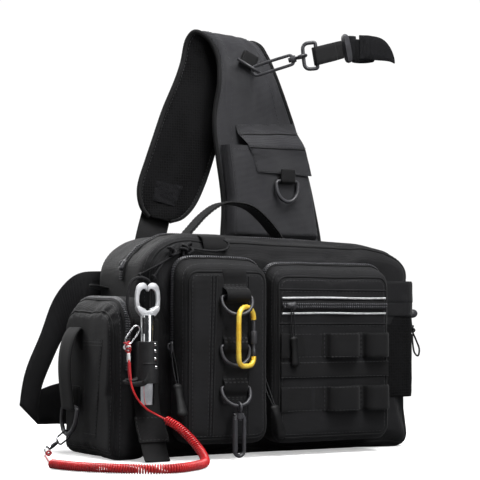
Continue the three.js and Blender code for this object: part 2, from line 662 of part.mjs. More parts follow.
// Keeper: snap hook on the upper ring, oval ring, webbing, buckle and a hook-and-loop tail round a rod's place
const KEEPER_HOOK = {
  wire: 1.9, width: 15.5, length: 52, eye: 5.6, eyeWire: 1.5, stem: 1.5, neck: 4, neckHeight: 6,
};
const keeperHook = snapHook(KEEPER_HOOK);
const keeperAim = vec(0.738, -0.62, 0.266).normalize();
const keeperFace = vec(-0.641, -0.767, -0.006).normalize();
const upperApex = upperBar.clone().addScaledVector(upperReach, SLING_RING.height - 2 * SLING_RING.wire);
// The hook bears on the bow's right side, where its tip clears the bow
const keeperEye = upperApex.clone()
  .addScaledVector(keeperAim, keeperHook.reach - 2 * KEEPER_HOOK.wire - SLING_RING.wire - GAP - 1.2)
  .addScaledVector(upperAcross, 4)
  .addScaledVector(upperReach, -1);
const keeperSide = keeperFace.clone().cross(keeperAim);
add('keeper_eye', 'plastic', placed(keeperHook.eye, keeperEye, keeperSide, keeperAim));
add('keeper_hook', 'plastic', placed(keeperHook.body, keeperEye, keeperSide, keeperAim));

// Oval ring in the hook's eye; its plane faces the front left
const OVAL = { width: 19, height: 34, wire: 1.8, tight: 2.2 };
const ovalAcross = vec(0.88, -0.475, 0).normalize();
const ovalUp = vec(-0.12, 0, 1).normalize();
const ovalHalf = OVAL.width / 2 - OVAL.wire;
const ovalMiddle = keeperEye.clone()
  .addScaledVector(keeperAim, KEEPER_HOOK.eye - KEEPER_HOOK.eyeWire - OVAL.wire - GAP)
  .addScaledVector(ovalAcross, ovalHalf);
const ovalOutline = outline({
  left: -ovalHalf, right: ovalHalf, low: -OVAL.height / 2 + OVAL.wire, high: OVAL.height / 2 - OVAL.wire,
}, [square(ovalHalf * 0.85), square(OVAL.tight), square(OVAL.tight), square(ovalHalf * 0.85)]);
const ovalRing = wireLoop(ovalOutline.map(([x, z]) => vec(x, 0, z)), vec(0, 1, 0), OVAL.wire, 6);
add('keeper_ring', 'plastic', placed(ovalRing, ovalMiddle, ovalAcross, ovalUp));

// Keeper webbing: folded round the oval ring, through the buckle and round a rod's place, in plan view
const ROD_PLACE = { x: 150, y: 8, radius: 12.5 };
const KEEPER = { width: 21.5, tailWidth: 29, thick: 1.8, z: MAIN.height + 232 };
const ovalBar = ovalMiddle.clone().addScaledVector(ovalAcross, ovalHalf);
const wrap = OVAL.wire + GAP + KEEPER.thick / 2 + 0.2;
const keeperRun = vec(ROD_PLACE.x - 26, ROD_PLACE.y - 3, KEEPER.z - 2).sub(ovalBar);
const keeperAlong = keeperRun.clone().normalize();
const keeperOut = vec(keeperAlong.y, -keeperAlong.x, 0).normalize();
const FOLD_ROWS = [
  [0.62, 1.15], [0.3, 1], [0.02, 1.05], [-0.8, 0.8], [-1.1, 0],
  [-0.8, -0.8], [0.02, -1.05], [0.3, -1], [0.975, -0.9],
];
const foldPath = FOLD_ROWS.map(([along, side]) => ovalBar.clone()
  .addScaledVector(keeperAlong, along > 0 ? along * keeperRun.length() : along * wrap)
  .addScaledVector(keeperOut, side * wrap));
const keeperAcross = vec(-0.2, 0, 1).normalize();
add('keeper_webbing', 'webbing', strap(foldPath, keeperAcross, KEEPER.width, KEEPER.thick));

const BUCKLE = { width: 8, thick: 7, height: 34 };
const buckleMiddle = ovalBar.clone().addScaledVector(keeperAlong, keeperRun.length() + 3);
const buckleRows = [[-1, 0.55], [-0.8, 1], [0.8, 1], [1, 0.55]];
const buckle = loft(buckleRows.map(([share, size]) => SIDES_OF_PLATE.map(([a, b]) => vec(
  a * size * BUCKLE.width / 2, b * size * BUCKLE.thick / 2, share * BUCKLE.height / 2,
))));
add('keeper_buckle', 'plastic', placed(buckle, buckleMiddle, keeperAlong, keeperAcross));

// The tail runs once round the rod's place and on to its pointed end
const TAIL_LENGTH = 52;
const turnsPath = steps(9).map((i) => {
  const angle = (200 - i * 42) * TO_RADIANS;
  const radius = ROD_PLACE.radius + i * 0.42;
  return vec(ROD_PLACE.x + radius * Math.cos(angle), ROD_PLACE.y + radius * Math.sin(angle), KEEPER.z);
});
const lastTurn = turnsPath[turnsPath.length - 1];
const TAIL_ROWS = [
  { along: 0.3, side: -3.6, high: 14.5, low: -14.5 },
  { along: 0.6, side: -3, high: 13.5, low: -14 },
  { along: 0.85, side: 0, high: 5, low: -13.2 },
  { along: 1, side: 2.5, high: -9, low: -15 },
];
const tailSpot = (row, z) => vec(lastTurn.x + row.along * TAIL_LENGTH, lastTurn.y + row.side, KEEPER.z + z);
const tailHalf = KEEPER.tailWidth / 2;
const tailStart = (side) => buckleMiddle.clone()
  .addScaledVector(keeperAlong, BUCKLE.width / 2 + GAP + 0.3)
  .addScaledVector(keeperAcross, side * tailHalf);
const tailEdge = (side, key) => [
  tailStart(side),
  ...turnsPath.map((p) => p.clone().setZ(p.z + side * tailHalf)),
  ...TAIL_ROWS.map((row) => tailSpot(row, row[key])),
];
const tailHigh = tailEdge(1, 'high');
const tailLow = tailEdge(-1, 'low');
add('keeper_tail', 'webbing', ribbon(tailLow, tailHigh, KEEPER.thick));

// Wide band that hangs in a fold behind the end pocket, and returns to the bag's lower back corner
const SIDE_BAND = { thick: 2.4, drop: 140, reach: 82, stand: 26 };
const SIDE_ROWS = [
  { lowX: 0, lowZ: 0.9, highX: -0.06, highZ: 1.22, back: 0 },
  { lowX: -0.32, lowZ: 0.86, highX: -0.42, highZ: 1.2, back: 0.25 },
  { lowX: -0.52, lowZ: 0.72, highX: -0.68, highZ: 1.02, back: 0.7 },
  { lowX: -0.7, lowZ: 0.5, highX: -0.86, highZ: 0.72, back: 0.85 },
  { lowX: -0.86, lowZ: 0.26, highX: -1.08, highZ: 0.42, back: 0.88 },
  { lowX: -0.88, lowZ: 0.02, highX: -1.14, highZ: 0.16, back: 0.95 },
  { lowX: -0.84, lowZ: 0, highX: -1.08, highZ: 0.2, back: 1.15 },
  { lowX: -0.6, lowZ: 0, highX: -0.62, highZ: 0.32, back: 1.1 },
  { lowX: -0.3, lowZ: 0, highX: -0.3, highZ: 0.34, back: 0.5 },
  { lowX: 0, lowZ: 0.02, highX: 0, highZ: 0.36, back: 0 },
];
const SIDE_LOW = 28;
const sidePoint = (x, z, back) => vec(
  -HALF + 14 + x * SIDE_BAND.reach,
  FACE + GAP + SIDE_BAND.thick / 2 + back * SIDE_BAND.stand,
  SIDE_LOW + z * SIDE_BAND.drop,
);
const sideLow = smooth(SIDE_ROWS.map((row) => sidePoint(row.lowX, row.lowZ, row.back)), 24);
const sideHigh = smooth(SIDE_ROWS.map((row) => sidePoint(row.highX, row.highZ, row.back)), 24);
add('side_band', 'nylon', ribbon(sideLow, sideHigh, SIDE_BAND.thick));

// Webbing strap and D-ring on the end pocket's outer face
const endFace = -endBlock.front;
const END_STRAP = { y: 26, width: 35, top: 136, foot: 52, stand: 13 };
const END_RING = { width: 46, height: 34, wire: 1.9 };
const endBar = vec(endFace - GAP - 9, END_STRAP.y, END_STRAP.foot);
const endWrap = END_RING.wire + GAP + WEB / 2 + 0.3;
const endPath = [
  vec(endFace - GAP - WEB / 2, END_STRAP.y, END_STRAP.top - 28),
  vec(endFace - GAP - WEB / 2, END_STRAP.y, END_STRAP.top - 4),
  vec(endFace - 4, END_STRAP.y, END_STRAP.top),
  vec(endFace - END_STRAP.stand * 0.8, END_STRAP.y, END_STRAP.top - 6),
  vec(endFace - END_STRAP.stand * 1.25, END_STRAP.y, END_STRAP.top - 26),
  vec(endFace - END_STRAP.stand * 1.3, END_STRAP.y, END_STRAP.top - 50),
  vec(endBar.x - endWrap, END_STRAP.y, endBar.z + 4),
  vec(endBar.x - endWrap * 1.05, END_STRAP.y, endBar.z),
  vec(endBar.x - endWrap * 0.8, END_STRAP.y, endBar.z - endWrap * 0.8),
  vec(endBar.x, END_STRAP.y, endBar.z - endWrap * 1.1),
  vec(endBar.x + endWrap * 0.8, END_STRAP.y, endBar.z - endWrap * 0.8),
  vec(endBar.x + endWrap * 1.05, END_STRAP.y, endBar.z),
  vec(endBar.x + endWrap, END_STRAP.y, endBar.z + 22),
];
add('end_strap', 'webbing', strap(endPath, vec(0, 1, 0), END_STRAP.width, WEB));
add('end_ring', 'plastic', placed(dRing(END_RING), endBar, vec(0, 1, 0), vec(0.12, 0, 1)));

// Rounded pull tab behind the end pocket's top
const END_TAB = { y: 40, width: 30, reach: 18, thick: 2, z: 178 };
const tabRows = [[0, 0.5], [0.35, 0.5], [0.7, 0.42], [0.92, 0.26], [1, 0.1]];
const tabEdge = (side) => tabRows.map(([along, half]) => vec(
  -HALF - GAP - along * END_TAB.reach, END_TAB.y + side * half * END_TAB.width, END_TAB.z + along * 5,
));
add('end_tab', 'nylon', ribbon(tabEdge(-1), tabEdge(1), END_TAB.thick));

// Open pocket on the right end for a rod butt or a bottle, with its hem
const SLEEVE = { low: 57, high: 187, halfWidth: 44, deep: 27, wall: 1.8 };
const sleeveShape = (inset, z) => {
  const back = HALF + GAP + inset;
  const arc = steps(11).map((i) => {
    const angle = (i / 10) * Math.PI;
    return vec(
      back + (SLEEVE.deep - 2 * inset) * Math.sin(angle) ** 0.7,
      (SLEEVE.halfWidth - inset) * Math.cos(angle), z,
    );
  });
  return arc;
};
const sleeveOuter = solid(loft([sleeveShape(0, SLEEVE.low), sleeveShape(0, SLEEVE.high)]));
const sleeveInner = solid(loft([
  sleeveShape(SLEEVE.wall, SLEEVE.low + SLEEVE.wall), sleeveShape(SLEEVE.wall, SLEEVE.high + CUT_OVERRUN),
]));
add('rod_pocket', 'mesh', geometryOf(sleeveOuter.subtract(sleeveInner)));

// Drawstring lock and knot on the rod pocket
const LOCK = { x: HALF + SLEEVE.deep + 0.3, y: -24, z: 152, radius: 4.6, long: 12 };
const lockProfile = [
  [0, 0], [LOCK.radius * 0.8, 0], [LOCK.radius, 2],
  [LOCK.radius, LOCK.long - 2], [LOCK.radius * 0.8, LOCK.long], [0, LOCK.long],
];
const lockFoot = vec(LOCK.x - 2.4, LOCK.y, LOCK.z);
add('cord_lock', 'plastic', placed(turned(lockProfile, 10), lockFoot, vec(0, 1, 0), vec(1, -0.2, -0.15)));

// Slip pocket that lies flat on the end pocket's outer face
const SLIP = { low: 21, high: 124, backEdge: 6, frontLow: -27, frontHigh: -45, thick: 1.5 };
const slipX = endFace - GAP - SLIP.thick / 2;
add('slip_pocket', 'nylon', ribbon(
  [vec(slipX, SLIP.frontLow, SLIP.low), vec(slipX, SLIP.frontHigh, SLIP.high)],
  [vec(slipX, SLIP.backEdge, SLIP.low), vec(slipX, SLIP.backEdge, SLIP.high)],
  SLIP.thick,
));

// Fish gripper: a steel tube with a forked head and two jaws, in a rubber holder on a webbing strap
const GRIP = {
  x: -174, y: -87, radius: 6.9, low: 58, top: 152, pivotOut: 3.5, pivotZ: 157, jaw: 4, ear: 1.2,
};
const onGrip = (geometry) => geometry.clone().translate(GRIP.x, GRIP.y, 0);
const tube = solid(turned([
  [0, GRIP.low], [GRIP.radius - 1, GRIP.low], [GRIP.radius, GRIP.low + 1.2],
  [GRIP.radius, GRIP.top - 1], [GRIP.radius - 1, GRIP.top], [0, GRIP.top],
], 16));
const earAt = (side) => {
  const inner = side * (GRIP.jaw / 2 + GAP);
  return solid(slab(
    FACING.front, [-GRIP.radius + 0.6, GRIP.radius - 0.6], [GRIP.top - 2, GRIP.pivotZ + 3.4],
    [inner, inner + side * GRIP.ear],
  ));
};
add('gripper_tube', 'steel', onGrip(geometryOf(tube.add(earAt(1)).add(earAt(-1)))));
// Rows run from the pivot to the inturned tip: distance out of the middle, height above the pivot, width
const JAW_ROWS = [
  { out: 0, up: -2.2, width: 3 },
  { out: 0, up: 0, width: 5.2 },
  { out: 4.2, up: 3, width: 5.2 },
  { out: 8.2, up: 8.5, width: 4.6 },
  { out: 8.8, up: 15, width: 4.6 },
  { out: 6.4, up: 21.5, width: 5 },
  { out: 2.6, up: 24.6, width: 5 },
  { out: -0.6, up: 23.2, width: 4 },
  { out: -1.7, up: 19.4, width: 2.2 },
];
for (const [name, side] of [['jaw_left', -1], ['jaw_right', 1]]) {
  const path = JAW_ROWS.map((row) => vec(side * (GRIP.pivotOut + row.out), 0, GRIP.pivotZ + row.up));
  const widths = JAW_ROWS.map((row) => row.width);
  const widthAt = (share) => widths[Math.round(share * (widths.length - 1))];
  const jaw = sweep(path, vec(0, 1, 0), (share) => plate(widthAt(share), GRIP.jaw));
  add(name, 'steel', onGrip(jaw));
}

const HOLDER = { low: 80, high: 123, wall: 4.2, tongue: 2, tongueReach: 17 };
const STRAP_BEHIND = { x: -168, width: 28, high: 146, out: 70.6 };
const holderBore = GRIP.radius + RUNNING_GAP;
const rod = (radius, low, high) => solid(turned([[0, low], [radius, low], [radius, high], [0, high]], 16));
const holderBody = rod(holderBore + HOLDER.wall, HOLDER.low, HOLDER.high);
const holderBack = -STRAP_BEHIND.out - GRIP.y - WEB / 2 - GAP;
const holderPad = solid(slab(FACING.front, [-9, 9], [HOLDER.low, HOLDER.high], [-holderBack, 0]));
const holderTongue = solid(wirePath([
  vec(-holderBore - 1, 0, HOLDER.low + 5), vec(-holderBore - HOLDER.tongueReach * 0.6, 0, HOLDER.low + 2.6),
  vec(-holderBore - HOLDER.tongueReach, 0, HOLDER.low + 4),
], vec(0, 1, 0), HOLDER.tongue, 8));
const holderCut = rod(holderBore, HOLDER.low - CUT_OVERRUN, HOLDER.high + CUT_OVERRUN);
const holder = holderBody.add(holderPad).add(holderTongue).subtract(holderCut);
add('gripper_holder', 'rubber', onGrip(geometryOf(holder)));

const hangPath = smooth([
  vec(STRAP_BEHIND.x, -STRAP_BEHIND.out, STRAP_BEHIND.high),
  vec(STRAP_BEHIND.x, -STRAP_BEHIND.out, 112),
  vec(STRAP_BEHIND.x, -STRAP_BEHIND.out, 78),
  vec(STRAP_BEHIND.x, -STRAP_BEHIND.out - 2, 60),
  vec(STRAP_BEHIND.x + 1, -STRAP_BEHIND.out - 11, 32),
  vec(STRAP_BEHIND.x + 1, -STRAP_BEHIND.out - 22, 8),
  vec(STRAP_BEHIND.x + 1, -STRAP_BEHIND.out - 28, 1.3),
], 14);
add('gripper_strap', 'webbing', strap(hangPath, vec(1, 0, 0), STRAP_BEHIND.width, WEB));

// Coiled lanyard: a steel link at the gripper, a thin lead, the coil, an end lead and a clip on the end ring
const LEAD = { radius: 1 };
const COIL = { radius: 4.2 };
function freeTube(points, radius, sides, pieces) {
  const shape = new THREE.Shape(circle(radius, sides).map(([a, b]) => new THREE.Vector2(a, b)));
  const curve = new THREE.CatmullRomCurve3(points.map((p) => vec(...p)), false, 'centripetal');
  return new THREE.ExtrudeGeometry(shape, { steps: pieces, bevelEnabled: false, extrudePath: curve });
}
const LINK = { wire: 0.9, width: 8, length: 21 };
const linkOval = outline(
  { left: -LINK.width / 2, right: LINK.width / 2, low: -LINK.length, high: 0 },
  steps(4).map(() => square(LINK.width / 2 - 0.2)),
);
const linkAim = vec(14, 0, 18).normalize();
const linkTop = vec(
  GRIP.x - GRIP.radius - GAP - LINK.width / 2 - LINK.wire - 0.2 + linkAim.x * LINK.width / 2, GRIP.y, 138,
);
const link = wireLoop(linkOval.map(([x, z]) => vec(x, 0, z)), vec(0, 1, 0), LINK.wire, 6);
add('lanyard_link', 'steel', placed(link, linkTop, vec(1, 0, 0), linkAim));
const linkFoot = linkTop.clone().addScaledVector(linkAim, -LINK.length);

const LEAD_ROUTE = [
  [linkFoot.x, linkFoot.y, linkFoot.z - LINK.wire - GAP - LEAD.radius * 0.2],
  [-196.5, -92.5, 100], [-196.5, -93.5, 90], [-194.5, -94.5, 78], [-189, -95, 66], [-179, -96, 55],
  [-168, -97, 48.6], [-161.5, -98.5, 45],
];
add('lanyard_lead', 'redcoil', freeTube(LEAD_ROUTE, LEAD.radius, 8, 20));
const COIL_ROUTE = [
  [-160.6, -98.9, 44.5], [-150, -110, 36.5], [-141.5, -124, 24], [-137, -137, 12.5], [-140, -151, 6.2],
  [-152, -171, 4.7], [-172, -189, 4.6], [-196, -200, 4.6], [-222, -194, 4.6], [-250, -169, 4.6],
  [-272, -137, 4.6], [-285, -101, 4.6],
];
add('lanyard_coil', 'redcoil', freeTube(COIL_ROUTE, COIL.radius, 10, 30));
const clipAim = vec(0.68, 0.52, 0.3).normalize();
const endRingUp = vec(0.12, 0, 1).normalize();
const endApex = endBar.clone().addScaledVector(endRingUp, -(END_RING.height - 2 * END_RING.wire));
const SNAP = { wire: 1, width: 9, length: 24, swivel: 2.2, long: 42, ring: 4 };
const snapTop = endApex.clone().addScaledVector(clipAim, SNAP.wire + END_RING.wire * 1.2 + GAP);
const snapOval = outline(
  { left: -SNAP.width / 2, right: SNAP.width / 2, low: -SNAP.length, high: 0 },
  steps(4).map(() => square(SNAP.width / 2 - 0.3)),
);
const snapFoot = -SNAP.long;
const snapRing = steps(10).map((i) => {
  const angle = (i / 10) * 2 * Math.PI;
  return vec(SNAP.ring * Math.sin(angle), 0, snapFoot - SNAP.ring * (1 - Math.cos(angle)));
});
const snapBody = solid(wireLoop(snapOval.map(([x, z]) => vec(x, 0, z)), vec(0, 1, 0), SNAP.wire, 6))
  .add(solid(turned([
    [0, -SNAP.length + 0.5], [1.2, -SNAP.length + 0.5], [SNAP.swivel, -SNAP.length - 4],
    [SNAP.swivel, -SNAP.long + 4], [1.2, snapFoot - 0.4], [0, snapFoot - 0.4],
  ], 8)))
  .add(solid(wireLoop(snapRing, vec(0, 1, 0), SNAP.wire, 6)));
add('lanyard_clip', 'steel', placed(geometryOf(snapBody), snapTop, vec(-0.5, 0, 0.8), clipAim));
const snapReach = snapFoot - 2 * SNAP.ring - SNAP.wire - GAP - LEAD.radius * 0.3;
const snapEnd = snapTop.clone().addScaledVector(clipAim, snapReach);
const END_ROUTE = [
  [snapEnd.x, snapEnd.y, snapEnd.z], [-259, -26, 2.4], [-266, -50, 2], [-273, -74, 2.4], [-283, -95.6, 3.6],
];
add('lanyard_end', 'redcoil', freeTube(END_ROUTE, LEAD.radius, 8, 14));

// Zip pulls: a cord loop with a moulded rubber end; rows are shares of the length and of the pull's size
const PULL = { width: 7.4, thick: 4 };
const PULL_ROWS = [
  { along: 0, width: 0.6, thick: 0.5 },
  { along: 0.5, width: 0.5, thick: 0.45 },
  { along: 0.6, width: 0.55, thick: 0.5 },
  { along: 0.66, width: 0.85, thick: 1 },
  { along: 0.8, width: 0.6, thick: 0.8 },
  { along: 0.94, width: 1, thick: 1 },
  { along: 1, width: 0.6, thick: 0.6 },
];
function pull(name, points, normal) {
  const curve = new THREE.CatmullRomCurve3(points, false, 'centripetal');
  const path = PULL_ROWS.map((row) => curve.getPointAt(row.along));
  add(name, 'rubber', sweep(path, normal, (share) => {
    const row = PULL_ROWS[Math.round(share * (PULL_ROWS.length - 1))];
    return circle(1, 8).map(([a, b]) => [a * row.width * PULL.width / 2, b * row.thick * PULL.thick / 2]);
  }));
}
const toFront = vec(0, -1, 0);
const MAIN_PULL = { drop: 31, length: 28 };
pull('pull_main', [
  vec(-HALF - 0.9, -MAIN_ZIP.at, MAIN.height - MAIN_PULL.drop),
  vec(-HALF - 2.1, -MAIN_ZIP.at - 1, MAIN.height - MAIN_PULL.drop - MAIN_PULL.length * 0.46),
  vec(-HALF - 2.4, -MAIN_ZIP.at - 1, MAIN.height - MAIN_PULL.drop - MAIN_PULL.length),
], vec(-1, 0, 0));
const tallSide = TALL.left - TALL.swell - GAP;
pull('pull_tall', [
  vec(tallSide - 2, -FACE - 13, TALL_ZIP.low + 10), vec(tallSide - 2.6, -FACE - 26, TALL_ZIP.low - 20),
  vec(tallSide - 2.4, -FACE - 41, TALL_ZIP.low - 56),
], toFront);
const wideSide = WIDE.left - WIDE.swell - GAP;
pull('pull_wide', [
  vec(wideSide - 2.8, -FACE - 15, WIDE_ZIP.low + 10), vec(wideSide - 2.8, -FACE - 30, WIDE_ZIP.low - 12),
  vec(wideSide - 0.5, -wideFace - 4.4, WIDE_ZIP.low - 30), vec(wideSide + 7, -wideFace - 3.4, WIDE_ZIP.low - 56),
], toFront);
const pullOut = wideFace + GAP + PIPE.zipThick + GAP + PULL.thick / 2 + 0.5;
pull('pull_face', [vec(-15, -pullOut, 162), vec(-14, -pullOut - 0.6, 130), vec(-11, -pullOut, 97)], toFront);

// Elastic drawstring that hangs in a loop from its lock
const SHOCK = { radius: 1.1 };
const SHOCK_ROUTE = [
  [1.5, -6.2], [2, -14], [2.6, -22], [7, -33], [9, -44], [6, -51], [1.5, -46], [-0.6, -36], [-0.4, -26],
].map(([out, up]) => [LOCK.x + out, LOCK.y - 1, LOCK.z + up]);
add('shock_cord', 'rubber', freeTube(SHOCK_ROUTE, SHOCK.radius, 8, 26));

export default group;
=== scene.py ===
"""Fishing tackle sling bag: the dressed visual model, built as a Blender add-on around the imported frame."""

import math

import bmesh
import bpy
import numpy as np
from mathutils import Matrix, Vector, noise
from mathutils.bvhtree import BVHTree


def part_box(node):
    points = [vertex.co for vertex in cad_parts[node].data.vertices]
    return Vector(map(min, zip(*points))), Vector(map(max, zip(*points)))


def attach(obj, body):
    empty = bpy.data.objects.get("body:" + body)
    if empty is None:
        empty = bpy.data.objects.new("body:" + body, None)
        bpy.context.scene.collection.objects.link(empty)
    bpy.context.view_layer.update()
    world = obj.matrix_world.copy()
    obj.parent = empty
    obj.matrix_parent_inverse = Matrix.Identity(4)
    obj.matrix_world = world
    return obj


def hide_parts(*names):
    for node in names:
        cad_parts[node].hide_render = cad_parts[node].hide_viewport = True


bl_info = {
    "name": "Tackle Sling Bag",
    "version": (1, 0, 0),
    "blender": (4, 5, 0),
    "location": "View3D > Sidebar > Tackle Bag",
    "description": "Builds the cloth, webbing, zips, hardware and coil lanyard of a fishing tackle sling bag",
    "category": "Object",
}

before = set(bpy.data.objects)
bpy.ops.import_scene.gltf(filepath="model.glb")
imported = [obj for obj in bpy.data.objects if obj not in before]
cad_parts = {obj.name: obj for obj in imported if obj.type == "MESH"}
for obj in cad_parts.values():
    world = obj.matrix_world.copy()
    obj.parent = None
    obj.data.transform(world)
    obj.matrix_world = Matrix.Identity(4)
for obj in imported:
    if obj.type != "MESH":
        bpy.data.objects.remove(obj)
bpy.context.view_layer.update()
MM = 0.001
BAG = "bag"
# Seams and threads, in metres: the step between a seam's points, and how far a thread lies above the cloth
SEAM_STEP = 0.003
SEAM_LIFT = 0.0001
STRAP_SEAM_LIFT = 0.0002
STITCH_WIDTH, STITCH_HEIGHT = 0.0006, 0.0005
# The distance from one stitch to the next, in stitch lengths
STITCH_SPACING = 1.45
FLOOR_GAP = 0.0002
PUFF_STEPS = 20


# Small helpers

def mm(*values):
    return Vector([v * MM for v in values])


def linear(hex_colour, alpha=1.0):
    """An sRGB hex colour as the linear values that a shader takes."""
    parts = [int(hex_colour[i:i + 2], 16) / 255 for i in (1, 3, 5)]
    return [p / 12.92 if p <= 0.04045 else ((p + 0.055) / 1.055) ** 2.4 for p in parts] + [alpha]


def smooth_path(points, count):
    """A centripetal curve through the points, sampled evenly in each span."""
    pts = [Vector(p) for p in points]
    pts = [pts[0] * 2 - pts[1]] + pts + [pts[-1] * 2 - pts[-2]]
    spans = len(pts) - 3
    out = []
    for k in range(count + 1):
        place = k / count * spans
        i = min(int(place), spans - 1)
        p = pts[i:i + 4]
        knots = [0.0]
        for a, b in zip(p, p[1:]):
            knots.append(knots[-1] + max((b - a).length, 1e-7) ** 0.5)
        t = knots[1] + (place - i) * (knots[2] - knots[1])

        def mix(a, b, ta, tb):
            return a * ((tb - t) / (tb - ta)) + b * ((t - ta) / (tb - ta))
        a1 = mix(p[0], p[1], knots[0], knots[1])
        a2 = mix(p[1], p[2], knots[1], knots[2])
        a3 = mix(p[2], p[3], knots[2], knots[3])
        b1 = mix(a1, a2, knots[0], knots[2])
        b2 = mix(a2, a3, knots[1], knots[3])
        out.append(mix(b1, b2, knots[1], knots[2]))
    return out


def route(places, count):
    """A smooth path through places in millimetres."""
    return smooth_path([mm(*p) for p in places], count)


def even_path(points, spacing, closed=False):
    """The same line with points at even distances."""
    pts = [Vector(p) for p in points] + ([Vector(points[0])] if closed else [])
    lengths = [0.0]
    for a, b in zip(pts, pts[1:]):
        lengths.append(lengths[-1] + (b - a).length)
    count = max(2, round(lengths[-1] / spacing))
    out, i = [], 0
    for k in range(count if closed else count + 1):
        want = lengths[-1] * k / count
        while i < len(pts) - 2 and lengths[i + 1] < want:
            i += 1
        step = lengths[i + 1] - lengths[i]
        out.append(pts[i].lerp(pts[i + 1], (want - lengths[i]) / step if step else 0))
    return out


def line_length(points):
    return sum((b - a).length for a, b in zip(points, points[1:]))


def link(obj):
    bpy.context.scene.collection.objects.link(obj)
    return obj


def mesh_object(name, verts, faces, uvs=None):
    mesh = bpy.data.meshes.new(name)
    mesh.from_pydata([tuple(v) for v in verts], [], faces)
    if uvs:
        layer = mesh.uv_layers.new(name="run")
        for loop in mesh.loops:
            layer.data[loop.index].uv = uvs[loop.vertex_index]
    mesh.validate()
    return link(bpy.data.objects.new(name, mesh))


def shade(obj, angle=50):
    """Smooth shading that keeps the edges that are sharper than the angle."""
    mesh = obj.data
    mesh.polygons.foreach_set("use_smooth", [True] * len(mesh.polygons))
    bm = bmesh.new()
    bm.from_mesh(mesh)
    for edge in bm.edges:
        edge.smooth = len(edge.link_faces) != 2 or edge.calc_face_angle(0) < math.radians(angle)
    bm.to_mesh(mesh)
    bm.free()


def finish_piece(obj, material, slot, body=BAG, replaces=()):
    """Gives a piece its material and body, and hides the frame's nodes that it stands for. The slot is not
    used.
    """
    if not obj.data.materials:
        obj.data.materials.append(MATERIALS[material])
    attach(obj, body)
    if replaces:
        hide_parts(*replaces)
    return obj


def evaluated_mesh(obj):
    """Replaces the object's mesh by what its modifiers make of it, and removes them."""
    bpy.context.view_layer.update()
    done = bpy.data.meshes.new_from_object(obj.evaluated_get(bpy.context.evaluated_depsgraph_get()))
    obj.modifiers.clear()
    old, obj.data = obj.data, done
    bpy.data.meshes.remove(old)
    return obj


def subdivided(obj, levels):
    sub = obj.modifiers.new("Subdivision", "SUBSURF")
    sub.levels = sub.render_levels = levels
    return evaluated_mesh(obj)


def joined(name, objects):
    """One mesh object made of several, which are removed."""
    bm = bmesh.new()
    materials = []
    for obj in objects:
        for m in obj.data.materials:
            if m not in materials:
                materials.append(m)
        start = len(bm.faces)
        bm.from_mesh(obj.data)
        bm.faces.ensure_lookup_table()
        slots = [materials.index(m) for m in obj.data.materials] or [0]
        for face in bm.faces[start:]:
            face.material_index = slots[min(face.material_index, len(slots) - 1)]
    mesh = bpy.data.meshes.new(name)
    bm.to_mesh(mesh)
    bm.free()
    for m in materials:
        mesh.materials.append(m)
    for obj in objects:
        bpy.data.objects.remove(obj)
    return link(bpy.data.objects.new(name, mesh))


# Forms made from paths

def frames_along(points, closed, up=None):
    """Tangent, side and up at each point of a line; without a given up they are carried along it."""
    n = len(points)
    out = []
    side = None
    for i, p in enumerate(points):
        a = points[i - 1] if (i or closed) else points[0]
        b = points[(i + 1) % n] if (i < n - 1 or closed) else points[-1]
        tangent = (b - a).normalized()
        if up is not None:
            lift = up[i] if isinstance(up, list) else up
            side = tangent.cross(lift).normalized()
        elif side is None:
            start = Vector((0.13, 0.21, 0.97)) if abs(tangent.z) < 0.9 else Vector((1, 0, 0))
            side = tangent.cross(start).normalized()
        else:
            side = (side - tangent * side.dot(tangent)).normalized()
        out.append((tangent, side, side.cross(tangent).normalized()))
    return out


def tube(name, points, radius, sides=10, closed=False, flat=1.0, up=None):
    """A round or flattened bar along a line. The radius is one value or one for each point."""
    radii = radius if isinstance(radius, list) else [radius] * len(points)
    verts, faces = [], []
    for p, (_, side, lift), r in zip(points, frames_along(points, closed, up), radii):
        for k in range(sides):
            a = 2 * math.pi * k / sides
            verts.append(p + side * (r * math.cos(a)) + lift * (r * flat * math.sin(a)))
    n = len(points)
    for i in range(n if closed else n - 1):
        j = (i + 1) % n
        for k in range(sides):
            m = (k + 1) % sides
            faces.append((i * sides + k, j * sides + k, j * sides + m, i * sides + m))
    if not closed:
        for i, turn in ((0, 1), (n - 1, -1)):
            verts.append(points[i] + (points[i] - points[i + turn]).normalized() * (radii[i] * 0.5))
            c = len(verts) - 1
            for k in range(sides):
                pair = (i * sides + k, i * sides + (k + 1) % sides)
                faces.append((pair[0], pair[1], c) if turn == 1 else (pair[1], pair[0], c))
    obj = mesh_object(name, verts, faces)
    outwards(obj)
    shade(obj, 60)
    return obj


def outwards(obj):
    bm = bmesh.new()
    bm.from_mesh(obj.data)
    bmesh.ops.recalc_face_normals(bm, faces=bm.faces)
    bm.to_mesh(obj.data)
    bm.free()


